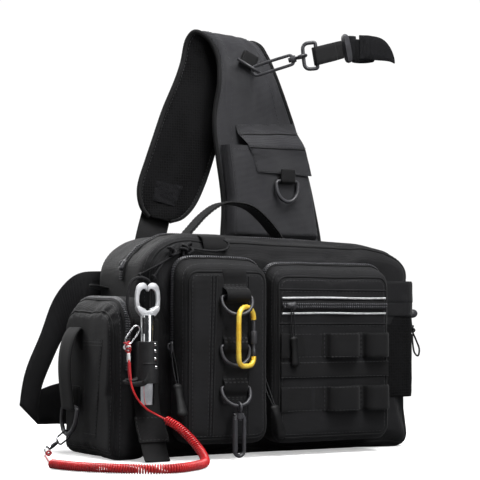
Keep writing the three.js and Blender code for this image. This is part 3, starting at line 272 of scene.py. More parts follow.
def strip(name, lefts, rights, thick, across=10, crisp=10.0, crown=0.0, ripple=None):
    """A strap between two edges. Its run map holds real lengths, across and along.
    Returns the piece and a function that gives a point and its normal at a share along and across."""
    rows = len(lefts)
    mids = [(a + b) / 2 for a, b in zip(lefts, rights)]
    normals = []
    for i in range(rows):
        along = (mids[min(i + 1, rows - 1)] - mids[max(i - 1, 0)]).normalized()
        normals.append((rights[i] - lefts[i]).cross(along).normalized())
    lengths = [0.0]
    for a, b in zip(mids, mids[1:]):
        lengths.append(lengths[-1] + (b - a).length)
    cols = [0.5 - 0.5 * math.cos(math.pi * k / across) for k in range(across + 1)]
    cols = [c * 0.35 + (k / across) * 0.65 for k, c in enumerate(cols)]

    def half(c):
        edge = abs(2 * c - 1)
        return thick / 2 * (1 - edge ** crisp) ** 0.5 + crown * (1 - edge ** 2)

    def spot(i, c, side):
        p = lefts[i].lerp(rights[i], c)
        move = half(c) * side
        if ripple:
            move += ripple(lengths[i], (c - 0.5) * (rights[i] - lefts[i]).length, p)
        return p + normals[i] * move
    verts, uvs, faces = [], [], []
    for i in range(rows):
        width = (rights[i] - lefts[i]).length
        for side, order in ((1, range(across + 1)), (-1, range(across - 1, 0, -1))):
            for k in order:
                verts.append(spot(i, cols[k], side))
                uvs.append(((cols[k] - 0.5) * width + (0.5 if side < 0 else 0), lengths[i]))
    n = 2 * across
    for i in range(rows - 1):
        for k in range(n):
            m = (k + 1) % n
            faces.append((i * n + k, (i + 1) * n + k, (i + 1) * n + m, i * n + m))
    for i in (0, rows - 1):
        for k in range(across):
            a, b = i * n + k, i * n + k + 1
            c, d = i * n + (n - k - 1) % n, i * n + (n - k) % n
            ring = (a, b, c) if k == 0 else (a, b, c, d)
            ring = tuple(dict.fromkeys(ring))
            if len(ring) > 2:
                faces.append(ring)
    obj = mesh_object(name, verts, faces, uvs)
    outwards(obj)
    shade(obj, 60)

    def at(share, across_share, side=1):
        place = share * (rows - 1)
        i = min(int(place), rows - 2)
        c = across_share * 0.5 + 0.5
        p = spot(i, c, side).lerp(spot(i + 1, c, side), place - i)
        return p, normals[i].lerp(normals[i + 1], place - i).normalized() * side
    return obj, at


def strap(name, points, across_way, width, thick, samples=0, **more):
    path = smooth_path(points, samples) if samples else [Vector(p) for p in points]
    half = across_way.normalized() * (width / 2)
    return strip(name, [p - half for p in path], [p + half for p in path], thick, **more)


def sewn_box(start, end, across):
    """The corners of a sewn rectangle on a strap, for surface_line."""
    return [(start, -across), (end, -across), (end, across), (start, across), (start, -across)]


def surface_line(at, spots, side=1, lift=STRAP_SEAM_LIFT):
    """Points and normals on a strip for (along, across) places, filled in between them."""
    out = []
    for (a0, c0), (a1, c1) in zip(spots, spots[1:]):
        for k in range(8):
            p, n = at(a0 + (a1 - a0) * k / 8, c0 + (c1 - c0) * k / 8, side)
            out.append((p + n * lift, n))
    p, n = at(*spots[-1], side)
    return out + [(p + n * lift, n)]


# Cloth forms made from the frame's solids

def hull_form(name, node, voxel):
    """The closed outer form of a hollow node, as an even mesh."""
    bm = bmesh.new()
    bm.from_mesh(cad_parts[node].data)
    bmesh.ops.remove_doubles(bm, verts=bm.verts, dist=1e-5)
    made = bmesh.ops.convex_hull(bm, input=bm.verts)
    bmesh.ops.delete(bm, geom=[g for g in made["geom_interior"] + made["geom_unused"]
                               if isinstance(g, bmesh.types.BMVert)], context="VERTS")
    hull = {f for f in made["geom"] if isinstance(f, bmesh.types.BMFace)}
    bmesh.ops.delete(bm, geom=[f for f in bm.faces if f not in hull], context="FACES")
    mesh = bpy.data.meshes.new(name)
    bm.to_mesh(mesh)
    bm.free()
    obj = link(bpy.data.objects.new(name, mesh))
    remesh = obj.modifiers.new("Remesh", "REMESH")
    remesh.mode = "VOXEL"
    remesh.voxel_size = voxel
    evaluated_mesh(obj)
    for _ in range(3):
        relax(obj, 0.5)
    return obj


def coordinates(mesh):
    co = np.empty(len(mesh.vertices) * 3)
    mesh.vertices.foreach_get("co", co)
    return co.reshape(-1, 3)


def relax(obj, share):
    """One pass of smoothing that moves each point towards the middle of its neighbours."""
    mesh = obj.data
    co = coordinates(mesh)
    edges = np.empty(len(mesh.edges) * 2, int)
    mesh.edges.foreach_get("vertices", edges)
    edges = edges.reshape(-1, 2)
    total = np.zeros_like(co)
    count = np.zeros(len(co))
    for a, b in ((0, 1), (1, 0)):
        np.add.at(total, edges[:, a], co[edges[:, b]])
        np.add.at(count, edges[:, a], 1)
    co += (total / count[:, None] - co) * share
    mesh.vertices.foreach_set("co", co.ravel())
    mesh.update()


def puffed(obj, pressure=4.0, cap=0.005, shrink=-0.02):
    """Blows the form up as cloth for a moment and caps how far each point moves."""
    start = coordinates(obj.data)
    cloth = obj.modifiers.new("Cloth", "CLOTH")
    cloth.settings.use_pressure = True
    cloth.settings.uniform_pressure_force = pressure
    cloth.settings.effector_weights.gravity = 0
    cloth.settings.shrink_min = shrink
    cloth.settings.quality = 4
    cloth.settings.bending_stiffness = 0.6
    cloth.point_cache.frame_start = 1
    cloth.point_cache.frame_end = PUFF_STEPS
    for step in range(1, PUFF_STEPS + 1):
        bpy.context.scene.frame_set(step)
    evaluated_mesh(obj)
    bpy.context.scene.frame_set(1)
    co = coordinates(obj.data)
    move = co - start
    length = np.linalg.norm(move, axis=1)[:, None]
    share = np.minimum(1, cap / np.maximum(length, 1e-9))
    obj.data.vertices.foreach_set("co", (start + move * share).ravel())
    obj.data.update()
    return obj


def sculpt(obj, field):
    """Moves each point along its normal by what the field gives for its place and normal, in metres."""
    mesh = obj.data
    moves = [(v.co + v.normal * field(v.co, v.normal)) for v in mesh.vertices]
    for v, co in zip(mesh.vertices, moves):
        v.co = co
    mesh.update()


def rest_on_floor(obj):
    """Flattens what the folds push below the floor."""
    for v in obj.data.vertices:
        v.co.z = max(v.co.z, FLOOR_GAP)


def folds(size, depth, stretch=(1, 1, 1), seed=0.0):
    """A field of soft folds: noise of one size, drawn out along the axes by the stretch."""
    def field(p, _n):
        q = Vector((p.x / stretch[0], p.y / stretch[1], p.z / stretch[2])) / size
        return depth * noise.noise(q + Vector((seed, seed * 1.7, -seed)))
    return field


def creases(lines, width, depth):
    """A field that sinks the cloth along lines, such as the pull of a seam."""
    points = np.array([tuple(p) for line in lines for p in line])

    def field(p, _n):
        d = np.sqrt(((points - np.array(p)) ** 2).sum(1).min())
        return -depth * math.exp(-(d / width) ** 2)
    return field


def summed(*fields):
    return lambda p, n: sum(f(p, n) for f in fields)


def tree_of(obj):
    bm = bmesh.new()
    bm.from_mesh(obj.data)
    tree = BVHTree.FromBMesh(bm)
    bm.free()
    return tree


def settle(points, tree, lift=0.0, closed=False):
    """Lays a line on a form: the nearest points of its surface, with normals evened along the line."""
    hits = [tree.find_nearest(p)[:2] for p in points]
    n = len(hits)
    out = []
    for i, (p, _) in enumerate(hits):
        total = Vector()
        for k in range(-3, 4):
            j = (i + k) % n if closed else min(max(i + k, 0), n - 1)
            total += hits[j][1]
        out.append((p + total.normalized() * lift, total.normalized()))
    return out


def round_rect(left, right, low, high, corners, place, steps=8):
    """A rounded rectangle from its sides and [width, height] corners, from the bottom left, anticlockwise."""
    out = []
    spots = ((left, low, 1, 1, math.pi), (right, low, -1, 1, 1.5 * math.pi),
             (right, high, -1, -1, 0), (left, high, 1, -1, 0.5 * math.pi))
    for (u, v, in_u, in_v, start), (w, h) in zip(spots, corners):
        for i in range(steps + 1):
            a = start + i / steps * math.pi / 2
            out.append(place(u + w * (in_u + math.cos(a)), v + h * (in_v + math.sin(a))))
    return out


# Rows of small things along lines, by Geometry Nodes

def run_tree():
    """A node tree that sets a unit along the lines of a mesh, turned to the line and to its up attribute."""
    tree = bpy.data.node_groups.new("Units along a line", "GeometryNodeTree")
    face = tree.interface
    face.new_socket("Geometry", in_out="OUTPUT", socket_type="NodeSocketGeometry")
    for name, kind in (("Geometry", "NodeSocketGeometry"), ("Spacing", "NodeSocketFloat"),
                       ("Unit", "NodeSocketObject"), ("Finish", "NodeSocketMaterial")):
        face.new_socket(name, in_out="INPUT", socket_type=kind)
    source = add(tree, "NodeGroupInput")
    line = add(tree, "GeometryNodeMeshToCurve", {0: source.outputs["Geometry"]})
    even = add(tree, "GeometryNodeResampleCurve", mode="LENGTH",
               inputs={"Curve": line.outputs[0], "Length": source.outputs["Spacing"]})
    up = add(tree, "GeometryNodeInputNamedAttribute", {"Name": "up"}, data_type="FLOAT_VECTOR")
    tangent = add(tree, "GeometryNodeInputTangent")
    first = add(tree, "FunctionNodeAlignRotationToVector", {"Vector": up.outputs[0]}, axis="Z")
    turn = add(tree, "FunctionNodeAlignRotationToVector",
               {"Rotation": first.outputs[0], "Vector": tangent.outputs[0]}, axis="X", pivot_axis="Z")
    unit = add(tree, "GeometryNodeObjectInfo", {"Object": source.outputs["Unit"]})
    rows = add(tree, "GeometryNodeInstanceOnPoints",
               {"Points": even.outputs[0], "Instance": unit.outputs["Geometry"], "Rotation": turn.outputs[0]})
    real = add(tree, "GeometryNodeRealizeInstances", {0: rows.outputs[0]})
    done = add(tree, "GeometryNodeSetMaterial", {"Geometry": real.outputs[0],
                                                 "Material": source.outputs["Finish"]})
    add(tree, "NodeGroupOutput", {0: done.outputs[0]})
    return tree


def add(tree, kind, inputs=None, **settings):
    """Adds a node with its settings; an input's value may be a number, a colour or another node's socket."""
    node = tree.nodes.new(kind)
    for key, value in settings.items():
        setattr(node, key, value)
    for key, value in (inputs or {}).items():
        if isinstance(value, bpy.types.NodeSocket):
            tree.links.new(value, node.inputs[key])
        else:
            node.inputs[key].default_value = value
    return node


def units_along(name, lines, spacing, unit, material):
    """A mesh of units along lines of (point, normal) pairs."""
    verts, edges, ups = [], [], []
    for line in lines:
        start = len(verts)
        verts += [p for p, _ in line]
        ups += [n for _, n in line]
        edges += [(start + i, start + i + 1) for i in range(len(line) - 1)]
    mesh = bpy.data.meshes.new(name)
    mesh.from_pydata([tuple(v) for v in verts], edges, [])
    layer = mesh.attributes.new("up", "FLOAT_VECTOR", "POINT")
    layer.data.foreach_set("vector", [c for n in ups for c in n])
    obj = link(bpy.data.objects.new(name, mesh))
    tree = bpy.data.node_groups.get("Units along a line") or run_tree()
    modifier = obj.modifiers.new("Units", "NODES")
    modifier.node_group = tree
    sockets = {s.name: s.identifier for s in tree.interface.items_tree if s.in_out == "INPUT"}
    modifier[sockets["Spacing"]] = spacing
    modifier[sockets["Unit"]] = unit
    modifier[sockets["Finish"]] = MATERIALS[material]
    evaluated_mesh(obj)
    bpy.data.objects.remove(unit)
    shade(obj, 60)
    return obj


def grain(length, width, height):
    """A small rounded grain, such as one stitch."""
    verts, faces = [], []
    rows = ((-0.5, 0.0), (-0.38, 0.8), (0.38, 0.8), (0.5, 0.0))
    for along, size in rows:
        for k in range(6):
            a = math.pi * k / 3
            r = max(size, 0.2)
            verts.append((along * length, r * math.cos(a) * width / 2, r * math.sin(a) * height / 2))
    for i in range(3):
        for k in range(6):
            m = (k + 1) % 6
            faces.append((i * 6 + k, (i + 1) * 6 + k, (i + 1) * 6 + m, i * 6 + m))
    faces += [tuple(range(6)), tuple(reversed(range(18, 24)))]
    obj = mesh_object("grain", verts, faces)
    outwards(obj)
    return obj


def stitches(name, lines):
    """Rows of stitches, with a gap of 0.45 of a stitch between them."""
    size = bpy.context.scene.tackle_cloth.stitch
    unit = grain(size, STITCH_WIDTH, STITCH_HEIGHT)
    return units_along(name, lines, size * STITCH_SPACING, unit, "thread")


# Smooth copies of the frame's hard solids

def refined(name, nodes, swell=0.0, levels=2, crease=75.0):
    """A smooth copy of low-sided solids. Swell makes up for what subdivision takes off a round bar."""
    parts = []
    for node in nodes:
        bm = bmesh.new()
        bm.from_mesh(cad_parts[node].data)
        bmesh.ops.remove_doubles(bm, verts=bm.verts, dist=2e-5)
        bmesh.ops.join_triangles(bm, faces=bm.faces, angle_face_threshold=math.radians(20),
                                 angle_shape_threshold=math.radians(60))
        layer = bm.edges.layers.float.new("crease_edge")
        for edge in bm.edges:
            if len(edge.link_faces) == 2 and edge.calc_face_angle(0) > math.radians(crease):
                edge[layer] = 0.85
        bm.normal_update()
        moves = [(v, v.normal * swell) for v in bm.verts]
        for v, move in moves:
            v.co += move
        mesh = bpy.data.meshes.new(name)
        bm.to_mesh(mesh)
        bm.free()
        obj = link(bpy.data.objects.new(name, mesh))
        parts.append(subdivided(obj, levels))
    obj = joined(name, parts) if len(parts) > 1 else parts[0]
    shade(obj, 50)
    return obj


def lathe(name, profile, origin, axis, sides=24):
    """A turned piece: rows of (radius, height) about an axis from an origin, in metres."""
    turn = Vector((0, 0, 1)).rotation_difference(axis.normalized()).to_matrix().to_4x4()
    place = Matrix.Translation(origin) @ turn
    verts, faces = [], []
    for r, h in profile:
        for k in range(sides):
            a = 2 * math.pi * k / sides
            verts.append(place @ Vector((max(r, 1e-5) * math.cos(a), max(r, 1e-5) * math.sin(a), h)))
    for i in range(len(profile) - 1):
        for k in range(sides):
            m = (k + 1) % sides
            faces.append((i * sides + k, i * sides + m, (i + 1) * sides + m, (i + 1) * sides + k))
    faces += [tuple(reversed(range(sides))), tuple(range(len(verts) - sides, len(verts)))]
    obj = mesh_object(name, verts, faces)
    outwards(obj)
    shade(obj, 35)
    return obj


# Materials

MATERIALS = {}


def new_material(name):
    material = bpy.data.materials.new(name)
    material.use_nodes = True
    tree = material.node_tree
    tree.nodes.clear()
    shader = add(tree, "ShaderNodeBsdfPrincipled")
    add(tree, "ShaderNodeOutputMaterial", {"Surface": shader.outputs[0]})
    MATERIALS[name] = material
    return tree, shader


def bump_to(tree, shader, height, distance, strength=1.0):
    bump = add(tree, "ShaderNodeBump", {"Height": height, "Distance": distance, "Strength": strength})
    tree.links.new(bump.outputs[0], shader.inputs["Normal"])


def set_ramp(ramp, start, end, dark, light):
    """Sets a colour ramp's two ends from places and sRGB hex colours."""
    for element, place, colour_hex in zip(ramp.color_ramp.elements, (start, end), (dark, light)):
        element.position = place
        element.color = linear(colour_hex)


def varied_colour(tree, shader, vector, dark, light, scale, detail=4.0):
    """Colour that wanders a little between two tones, as dye and dust make it."""
    spots = add(tree, "ShaderNodeTexNoise", {"Vector": vector, "Scale": scale, "Detail": detail,
                                             "Roughness": 0.6})
    ramp = add(tree, "ShaderNodeValToRGB", {"Fac": spots.outputs["Fac"]})
    set_ramp(ramp, 0.3, 0.7, dark, light)
    tree.links.new(ramp.outputs["Color"], shader.inputs["Base Color"])
    return spots


def weave_material(name, dark, light, roughness, thread, depth, sheen=0.25, uv=False):
    """Woven nylon: a grid of threads. Without a run map the three axes' waves make a grid on any face."""
    tree, shader = new_material(name)
    shader.inputs["Roughness"].default_value = roughness
    shader.inputs["Sheen Weight"].default_value = sheen
    shader.inputs["Sheen Roughness"].default_value = 0.45
    shader.inputs["Specular IOR Level"].default_value = 0.18
    coords = add(tree, "ShaderNodeTexCoord")
    place = coords.outputs["UV"] if uv else coords.outputs["Object"]
    wobble = add(tree, "ShaderNodeTexNoise", {"Vector": coords.outputs["Object"], "Scale": 60.0,
                                              "Detail": 2.0})
    moved = add(tree, "ShaderNodeVectorMath", {0: wobble.outputs["Color"], 3: thread * 0.6},
                operation="SCALE")
    total = add(tree, "ShaderNodeVectorMath", {0: place, 1: moved.outputs[0]}, operation="ADD")
    scaled = add(tree, "ShaderNodeVectorMath", {0: total.outputs[0], 3: 2 * math.pi / thread},
                 operation="SCALE")
    waves = add(tree, "ShaderNodeVectorMath", {0: scaled.outputs[0]}, operation="SINE")
    grid = add(tree, "ShaderNodeVectorMath", {0: waves.outputs[0], 1: (1, 1, 1)}, operation="DOT_PRODUCT")
    varied_colour(tree, shader, coords.outputs["Object"], dark, light, 22.0)
    bump_to(tree, shader, grid.outputs["Value"], depth)
    return tree, shader


def plain_material(name, dark, light, scale, sockets, bump=0.0, detail=4.0):
    """A material that wanders between two tones. The sockets' constants go on the shader itself."""
    tree, shader = new_material(name)
    for socket, value in sockets.items():
        shader.inputs[socket].default_value = value
    coords = add(tree, "ShaderNodeTexCoord")
    spots = varied_colour(tree, shader, coords.outputs["Object"], dark, light, scale, detail)
    if bump:
        bump_to(tree, shader, spots.outputs["Fac"], bump)
    return tree, shader, spots


def make_materials(cloth, hard):
    # Coated 600-denier nylon: matt, with a fine grid that catches a thin sheen. The threads are drawn at
    # 1.2 mm, twice the real spacing, so that they show.
    weave_material("coated_nylon", cloth.dark, cloth.light, 0.7, 0.0012, 0.00006, 0.05)
    # The sling's face: the same cloth in a lighter charcoal tone, over foam.
    weave_material("sling_nylon", cloth.sling_dark, cloth.sling_light, 0.72, 0.0014, 0.00008, 0.06)
    # Nylon webbing: ribs along the run with a finer cross thread.
    weave_material("webbing", cloth.webbing_dark, cloth.webbing_light, 0.8, 0.0013, 0.00004, 0.05, uv=True)
    # Spacer mesh: knitted holes over foam, drawn at 3 mm. The near-black in each hole is painted shade, the
    # shadow down inside it.
    tree, shader = new_material("spacer_mesh")
    shader.inputs["Roughness"].default_value = 0.9
    shader.inputs["Specular IOR Level"].default_value = 0.1
    coords = add(tree, "ShaderNodeTexCoord")
    holes = add(tree, "ShaderNodeTexVoronoi",
                {"Vector": coords.outputs["Object"], "Scale": 330.0, "Randomness": 0.25})
    ramp = add(tree, "ShaderNodeValToRGB", {"Fac": holes.outputs["Distance"]})
    # The hole middles get near-black: painted shade inside the holes.
    set_ramp(ramp, 0.22, 0.5, "#040404", cloth.dark)
    tree.links.new(ramp.outputs["Color"], shader.inputs["Base Color"])
    bump_to(tree, shader, holes.outputs["Distance"], 0.0006)
    # Hook-and-loop tape: a dense nap of tiny loops.
    plain_material("loop_tape", "#0a0a0b", "#202022", 900.0,
                   {"Roughness": 0.95, "Specular IOR Level": 0.1}, 0.0008, 6.0)
    # Sewing thread: bonded polyester, a little shinier than the cloth.
    plain_material("thread", "#18181a", "#29292c", 400.0, {"Roughness": 0.5})
    # Zip coil: extruded polyester, satin, dark grey; its tone is lifted above that in part as painted
    # highlight on the teeth.
    plain_material("zip_teeth", "#29292b", "#545458", 260.0, {"Roughness": 0.38})
    # Retroreflective piping: silver-white film over cord, bright from the front and slightly pearly.
    plain_material("reflective_film", "#a9abad", "#dcddde", 300.0,
                   {"Roughness": 0.32, "Metallic": 0.25, "Sheen Weight": 0.4}, 0.0001)
    # Acetal rings and hooks: moulded, dark grey, with a satin skin and a faint flow texture.
    plain_material("moulded_acetal", hard.plastic_dark, hard.plastic_light, 120.0, {"Roughness": 0.42},
                   0.00008)
    # Thermoplastic rubber: matt and soft-edged.
    plain_material("moulded_rubber", "#121213", "#1f1f21", 180.0,
                   {"Specular IOR Level": 0.35, "Roughness": 0.6}, 0.0001)
    # Softer rubber of the pulls' grips: nearly black, with little shine.
    plain_material("soft_rubber", "#0c0c0d", "#151516", 180.0,
                   {"Specular IOR Level": 0.2, "Roughness": 0.55}, 0.0001)
    # Anodised aluminium: a satin metal coloured through its oxide.
    plain_material("anodised_aluminium", hard.gold_dark, hard.gold_light, 90.0,
                   {"Metallic": 0.3, "Roughness": 0.28}, 0.00004)
    # Polished stainless steel: nearly a mirror, with fine wear in its roughness.
    tree, shader, wear = plain_material("stainless_steel", "#c4c6c9", "#e6e7e9", 140.0, {"Metallic": 1.0})
    rough = add(tree, "ShaderNodeMapRange", {"Value": wear.outputs["Fac"], "To Min": 0.12, "To Max": 0.24})
    tree.links.new(rough.outputs[0], shader.inputs["Roughness"])
    # Bead-blasted steel of the jaws: bright and even, without mirror reflections.
    plain_material("satin_steel", "#bcbdc0", "#d8d9dc", 110.0, {"Metallic": 0.75, "Roughness": 0.42}, 0.00005)
    # Twisted polyester of the lanyard's loops: red and white strands.
    plain_material("red_cord", "#7c0f16", "#c01f28", 700.0, {"Roughness": 0.6}, 0.0002)
    plain_material("white_cord", "#b9b9ba", "#ececec", 700.0, {"Roughness": 0.6}, 0.0002)
    # Polyurethane coil: glossy, dyed through, slightly clear at the edge.
    plain_material("polyurethane", hard.coil_dark, hard.coil_light, 60.0,
                   {"Roughness": 0.28, "Coat Weight": 0.4, "Subsurface Weight": 0.05})
    # Braided elastic: black with a fine spiral.
    tree, shader, _ = plain_material("braided_elastic", "#151516", "#262628", 500.0,
                                     {"Roughness": 0.75, "Specular IOR Level": 0.2})
    coords = add(tree, "ShaderNodeTexCoord")
    weave = add(tree, "ShaderNodeTexVoronoi", {"Vector": coords.outputs["Object"], "Scale": 900.0})
    bump_to(tree, shader, weave.outputs["Distance"], 0.0003)


# Settings

def colour(name, default, description):
    return bpy.props.StringProperty(name=name, default=default, description=description)


def length(name, default, description):
    return bpy.props.FloatProperty(name=name, default=default, description=description, unit="LENGTH",
                                   subtype="DISTANCE", precision=5)


class TackleCloth(bpy.types.PropertyGroup):
    """Sizes and colours of the sewn parts."""
    dark: colour("Cloth dark", "#101011", "Darker tone of the coated nylon, sRGB hex")
    light: colour("Cloth light", "#18181a", "Lighter tone of the coated nylon, sRGB hex")
    sling_dark: colour("Sling dark", "#2c2c2f", "Darker tone of the sling's face, sRGB hex")
    sling_light: colour("Sling light", "#353537", "Lighter tone of the sling's face, sRGB hex")
    webbing_dark: colour("Webbing dark", "#0f0f10", "Darker tone of the webbing, sRGB hex")
    webbing_light: colour("Webbing light", "#171718", "Lighter tone of the webbing, sRGB hex")
    stitch: length("Stitch", 0.003, "Length of one stitch")
    tooth: length("Zip tooth spacing", 0.0026, "Distance from one zip tooth to the next")
    voxel: length("Cloth grid", 0.004, "Grid of the puffed cloth forms")
    fold: length("Fold depth", 0.0016, "Depth of the soft folds in the panels")


class TackleHardware(bpy.types.PropertyGroup):
    """Colours of the rings, carabiner and coil, and the coil's sizes."""
    plastic_dark: colour("Plastic dark", "#2a2a2c", "Darker tone of the moulded rings, sRGB hex")
    plastic_light: colour("Plastic light", "#3c3c40", "Lighter tone of the moulded rings, sRGB hex")
    gold_dark: colour("Anodising dark", "#f5be2e", "Darker tone of the carabiner, sRGB hex")
    gold_light: colour("Anodising light", "#ffe264", "Lighter tone of the carabiner, sRGB hex")
    coil_dark: colour("Coil dark", "#a51219", "Darker tone of the coil, sRGB hex")
    coil_light: colour("Coil light", "#d42428", "Lighter tone of the coil, sRGB hex")
    coil_wire: length("Coil wire", 0.0021, "Diameter of the coiled cord")
    coil_radius: length("Coil radius", 0.0037, "Radius of the coil to the middle of its cord")
    coil_pitch: length("Coil pitch", 0.0026, "Distance from one turn of the coil to the next")


class TackleStage(bpy.types.PropertyGroup):
    """Camera, floor and lights."""
    lens: bpy.props.FloatProperty(name="Lens", default=111.5,
                                  description="Focal length on a 36 mm sensor, in millimetres")
    floor: colour("Floor", "#ffffff", "Colour of the floor, sRGB hex")
    sky: bpy.props.FloatProperty(name="Sky", default=0.8, min=0,
                                 description="Strength of the even white light")
    key: bpy.props.FloatProperty(name="Key light", default=26.0, min=0, unit="POWER",
                                 description="Power of the key light")


# Operators

class Builder(bpy.types.Operator):
    """Base of the build steps: runs build() and reports it done."""
    bl_options = {"REGISTER", "UNDO"}

    def execute(self, context):
        self.build(context.scene.tackle_cloth, context.scene.tackle_hardware, context.scene.tackle_stage)
        return {"FINISHED"}


CAMERA_PLACE = mm(-811.4, -1474.2, 150.7)
CAMERA_TARGET = mm(-18.2, 2.65, 234.2)
FLOOR_HALF = 12.0
FADE_START, FADE_END = 0.3, 0.9
SWEEP_WHITE = 1.02
LAMPS = (
    ("key_light", (250, -1450, 1050), (0, 0, 250), (0.55, 1.5), 0.62),
    ("top_light", (60, -560, 1400), (0, 0, 220), (0.9, 0.9), 1.15),
    ("left_light", (-1525, -457, 650), (-170, -80, 200), (0.25, 1.1), 0.07),
    ("back_light", (-500, 1100, 1200), (0, 0, 250), (0.8, 0.8), 0.6),
)


class TACKLE_OT_stage(Builder):
    """Makes the camera, the floor and the soft studio light"""
    bl_idname = "tackle.stage"
    bl_label = "Stage"

    def build(self, cloth, hard, stage):
        camera = link(bpy.data.objects.new("camera", bpy.data.cameras.new("camera")))
        camera.data.lens, camera.data.sensor_width = stage.lens, 36
        camera.data.clip_start, camera.data.clip_end = 0.05, 50
        camera.location = CAMERA_PLACE
        camera.rotation_euler = (CAMERA_TARGET - CAMERA_PLACE).to_track_quat("-Z", "Y").to_euler()
        bpy.context.scene.camera = camera
        self.floor(stage)
        self.room(stage)
        for name, at, to, size, power in LAMPS:
            lamp = link(bpy.data.objects.new(name, bpy.data.lights.new(name, "AREA")))
            lamp.data.shape, lamp.data.energy = "RECTANGLE", stage.key * power
            lamp.data.size, lamp.data.size_y = size
            lamp.location = mm(*at)
            lamp.rotation_euler = (mm(*to) - mm(*at)).to_track_quat("-Z", "Y").to_euler()

    def floor(self, stage):
        """White paper that glows like the sweep farther off, and throws little light back at the bag."""
        tree, shader = new_material("floor_paper")
        shader.inputs["Roughness"].default_value = 0.9
        spot = add(tree, "ShaderNodeTexCoord")
        away = add(tree, "ShaderNodeVectorMath", {0: spot.outputs["Object"]}, operation="LENGTH")
        far, near = (
            add(tree, "ShaderNodeMapRange",
                {"Value": away.outputs["Value"], "From Min": FADE_START, "From Max": FADE_END,
                 "To Min": at_start, "To Max": at_end}, interpolation_type="SMOOTHSTEP")
            for at_start, at_end in ((0.4, SWEEP_WHITE), (1.0, 0.0)))
        white, grey = linear(stage.floor), linear("#707072")
        paper = add(tree, "ShaderNodeMix", {0: near.outputs[0], 6: (0, 0, 0, 1), 7: white}, data_type="RGBA")
        seen = add(tree, "ShaderNodeLightPath")
        tone = add(tree, "ShaderNodeMix", {0: seen.outputs["Is Camera Ray"], 6: grey, 7: paper.outputs[2]},
                   data_type="RGBA")
        glow = add(tree, "ShaderNodeMath", {0: far.outputs[0], 1: seen.outputs["Is Camera Ray"]},
                   operation="MULTIPLY")
        tree.links.new(tone.outputs[2], shader.inputs["Base Color"])
        tree.links.new(glow.outputs[0], shader.inputs["Emission Strength"])
        shader.inputs["Emission Color"].default_value = white
        corners = [(x * FLOOR_HALF, y * FLOOR_HALF, 0) for x, y in ((-1, -1), (1, -1), (1, 1), (-1, 1))]
        floor = mesh_object("floor", corners, [(0, 1, 2, 3)])
        floor.data.materials.append(MATERIALS["floor_paper"])

    def room(self, stage):
        """A room that is dimmer behind the camera than the sweep, so metal and cloth get dark bands."""
        world = bpy.data.worlds.new("studio")
        bpy.context.scene.world = world
        world.use_nodes = True
        room = world.node_tree
        room.nodes.clear()
        place = add(room, "ShaderNodeTexCoord")
        axes = add(room, "ShaderNodeSeparateXYZ", {0: place.outputs["Generated"]})
        ramp = add(room, "ShaderNodeValToRGB", {"Fac": add(room, "ShaderNodeMapRange", {
            "Value": axes.outputs["Y"], "From Min": -1.0, "From Max": 1.0}).outputs[0]})
        set_ramp(ramp, 0.45, 0.85, "#38393b", "#ffffff")
        dim = add(room, "ShaderNodeBackground", {"Color": ramp.outputs["Color"], "Strength": stage.sky})
        white = add(room, "ShaderNodeBackground", {"Color": (1, 1, 1, 1), "Strength": SWEEP_WHITE})
        seen = add(room, "ShaderNodeLightPath")
        both = add(room, "ShaderNodeMixShader", {0: seen.outputs["Is Camera Ray"], 1: dim.outputs[0],
                                                 2: white.outputs[0]})
        add(room, "ShaderNodeOutputWorld", {"Surface": both.outputs[0]})
        bpy.context.scene.view_settings.view_transform = "Standard"


LEAD_ROUTE = ((-196.4, -87, 118.9), (-196.5, -92.5, 100), (-196.5, -93.5, 90), (-194.5, -94.5, 78),
              (-189, -95, 66), (-179, -96, 55), (-168, -97, 48.6), (-161.5, -98.5, 45))
COIL_ROUTE = ((-160.6, -98.9, 44.5), (-150, -110, 36.5), (-141.5, -124, 24), (-137, -137, 12.5),
              (-140, -151, 6.2), (-152, -171, 5.1), (-172, -189, 5.1), (-196, -200, 5.1), (-222, -194, 5.1),
              (-250, -169, 5.1), (-272, -137, 5.1), (-285, -101, 5.1))
END_ROUTE = ((-251.9, -2.0, 3.0), (-259, -26, 2.4), (-266, -50, 2.0), (-273, -74, 2.4), (-283, -95.6, 3.6))
SHOCK_ROUTE = ((1.5, -1, -6.2), (2.4, -1, -14), (3.6, -1, -21), (9.5, -1, -33), (13.5, -1, -43),
               (11.5, -1, -50.5), (6.8, -1, -47), (4.2, -1, -36), (3.4, -1, -25))
LOCK = mm(193.6, -24, 152)


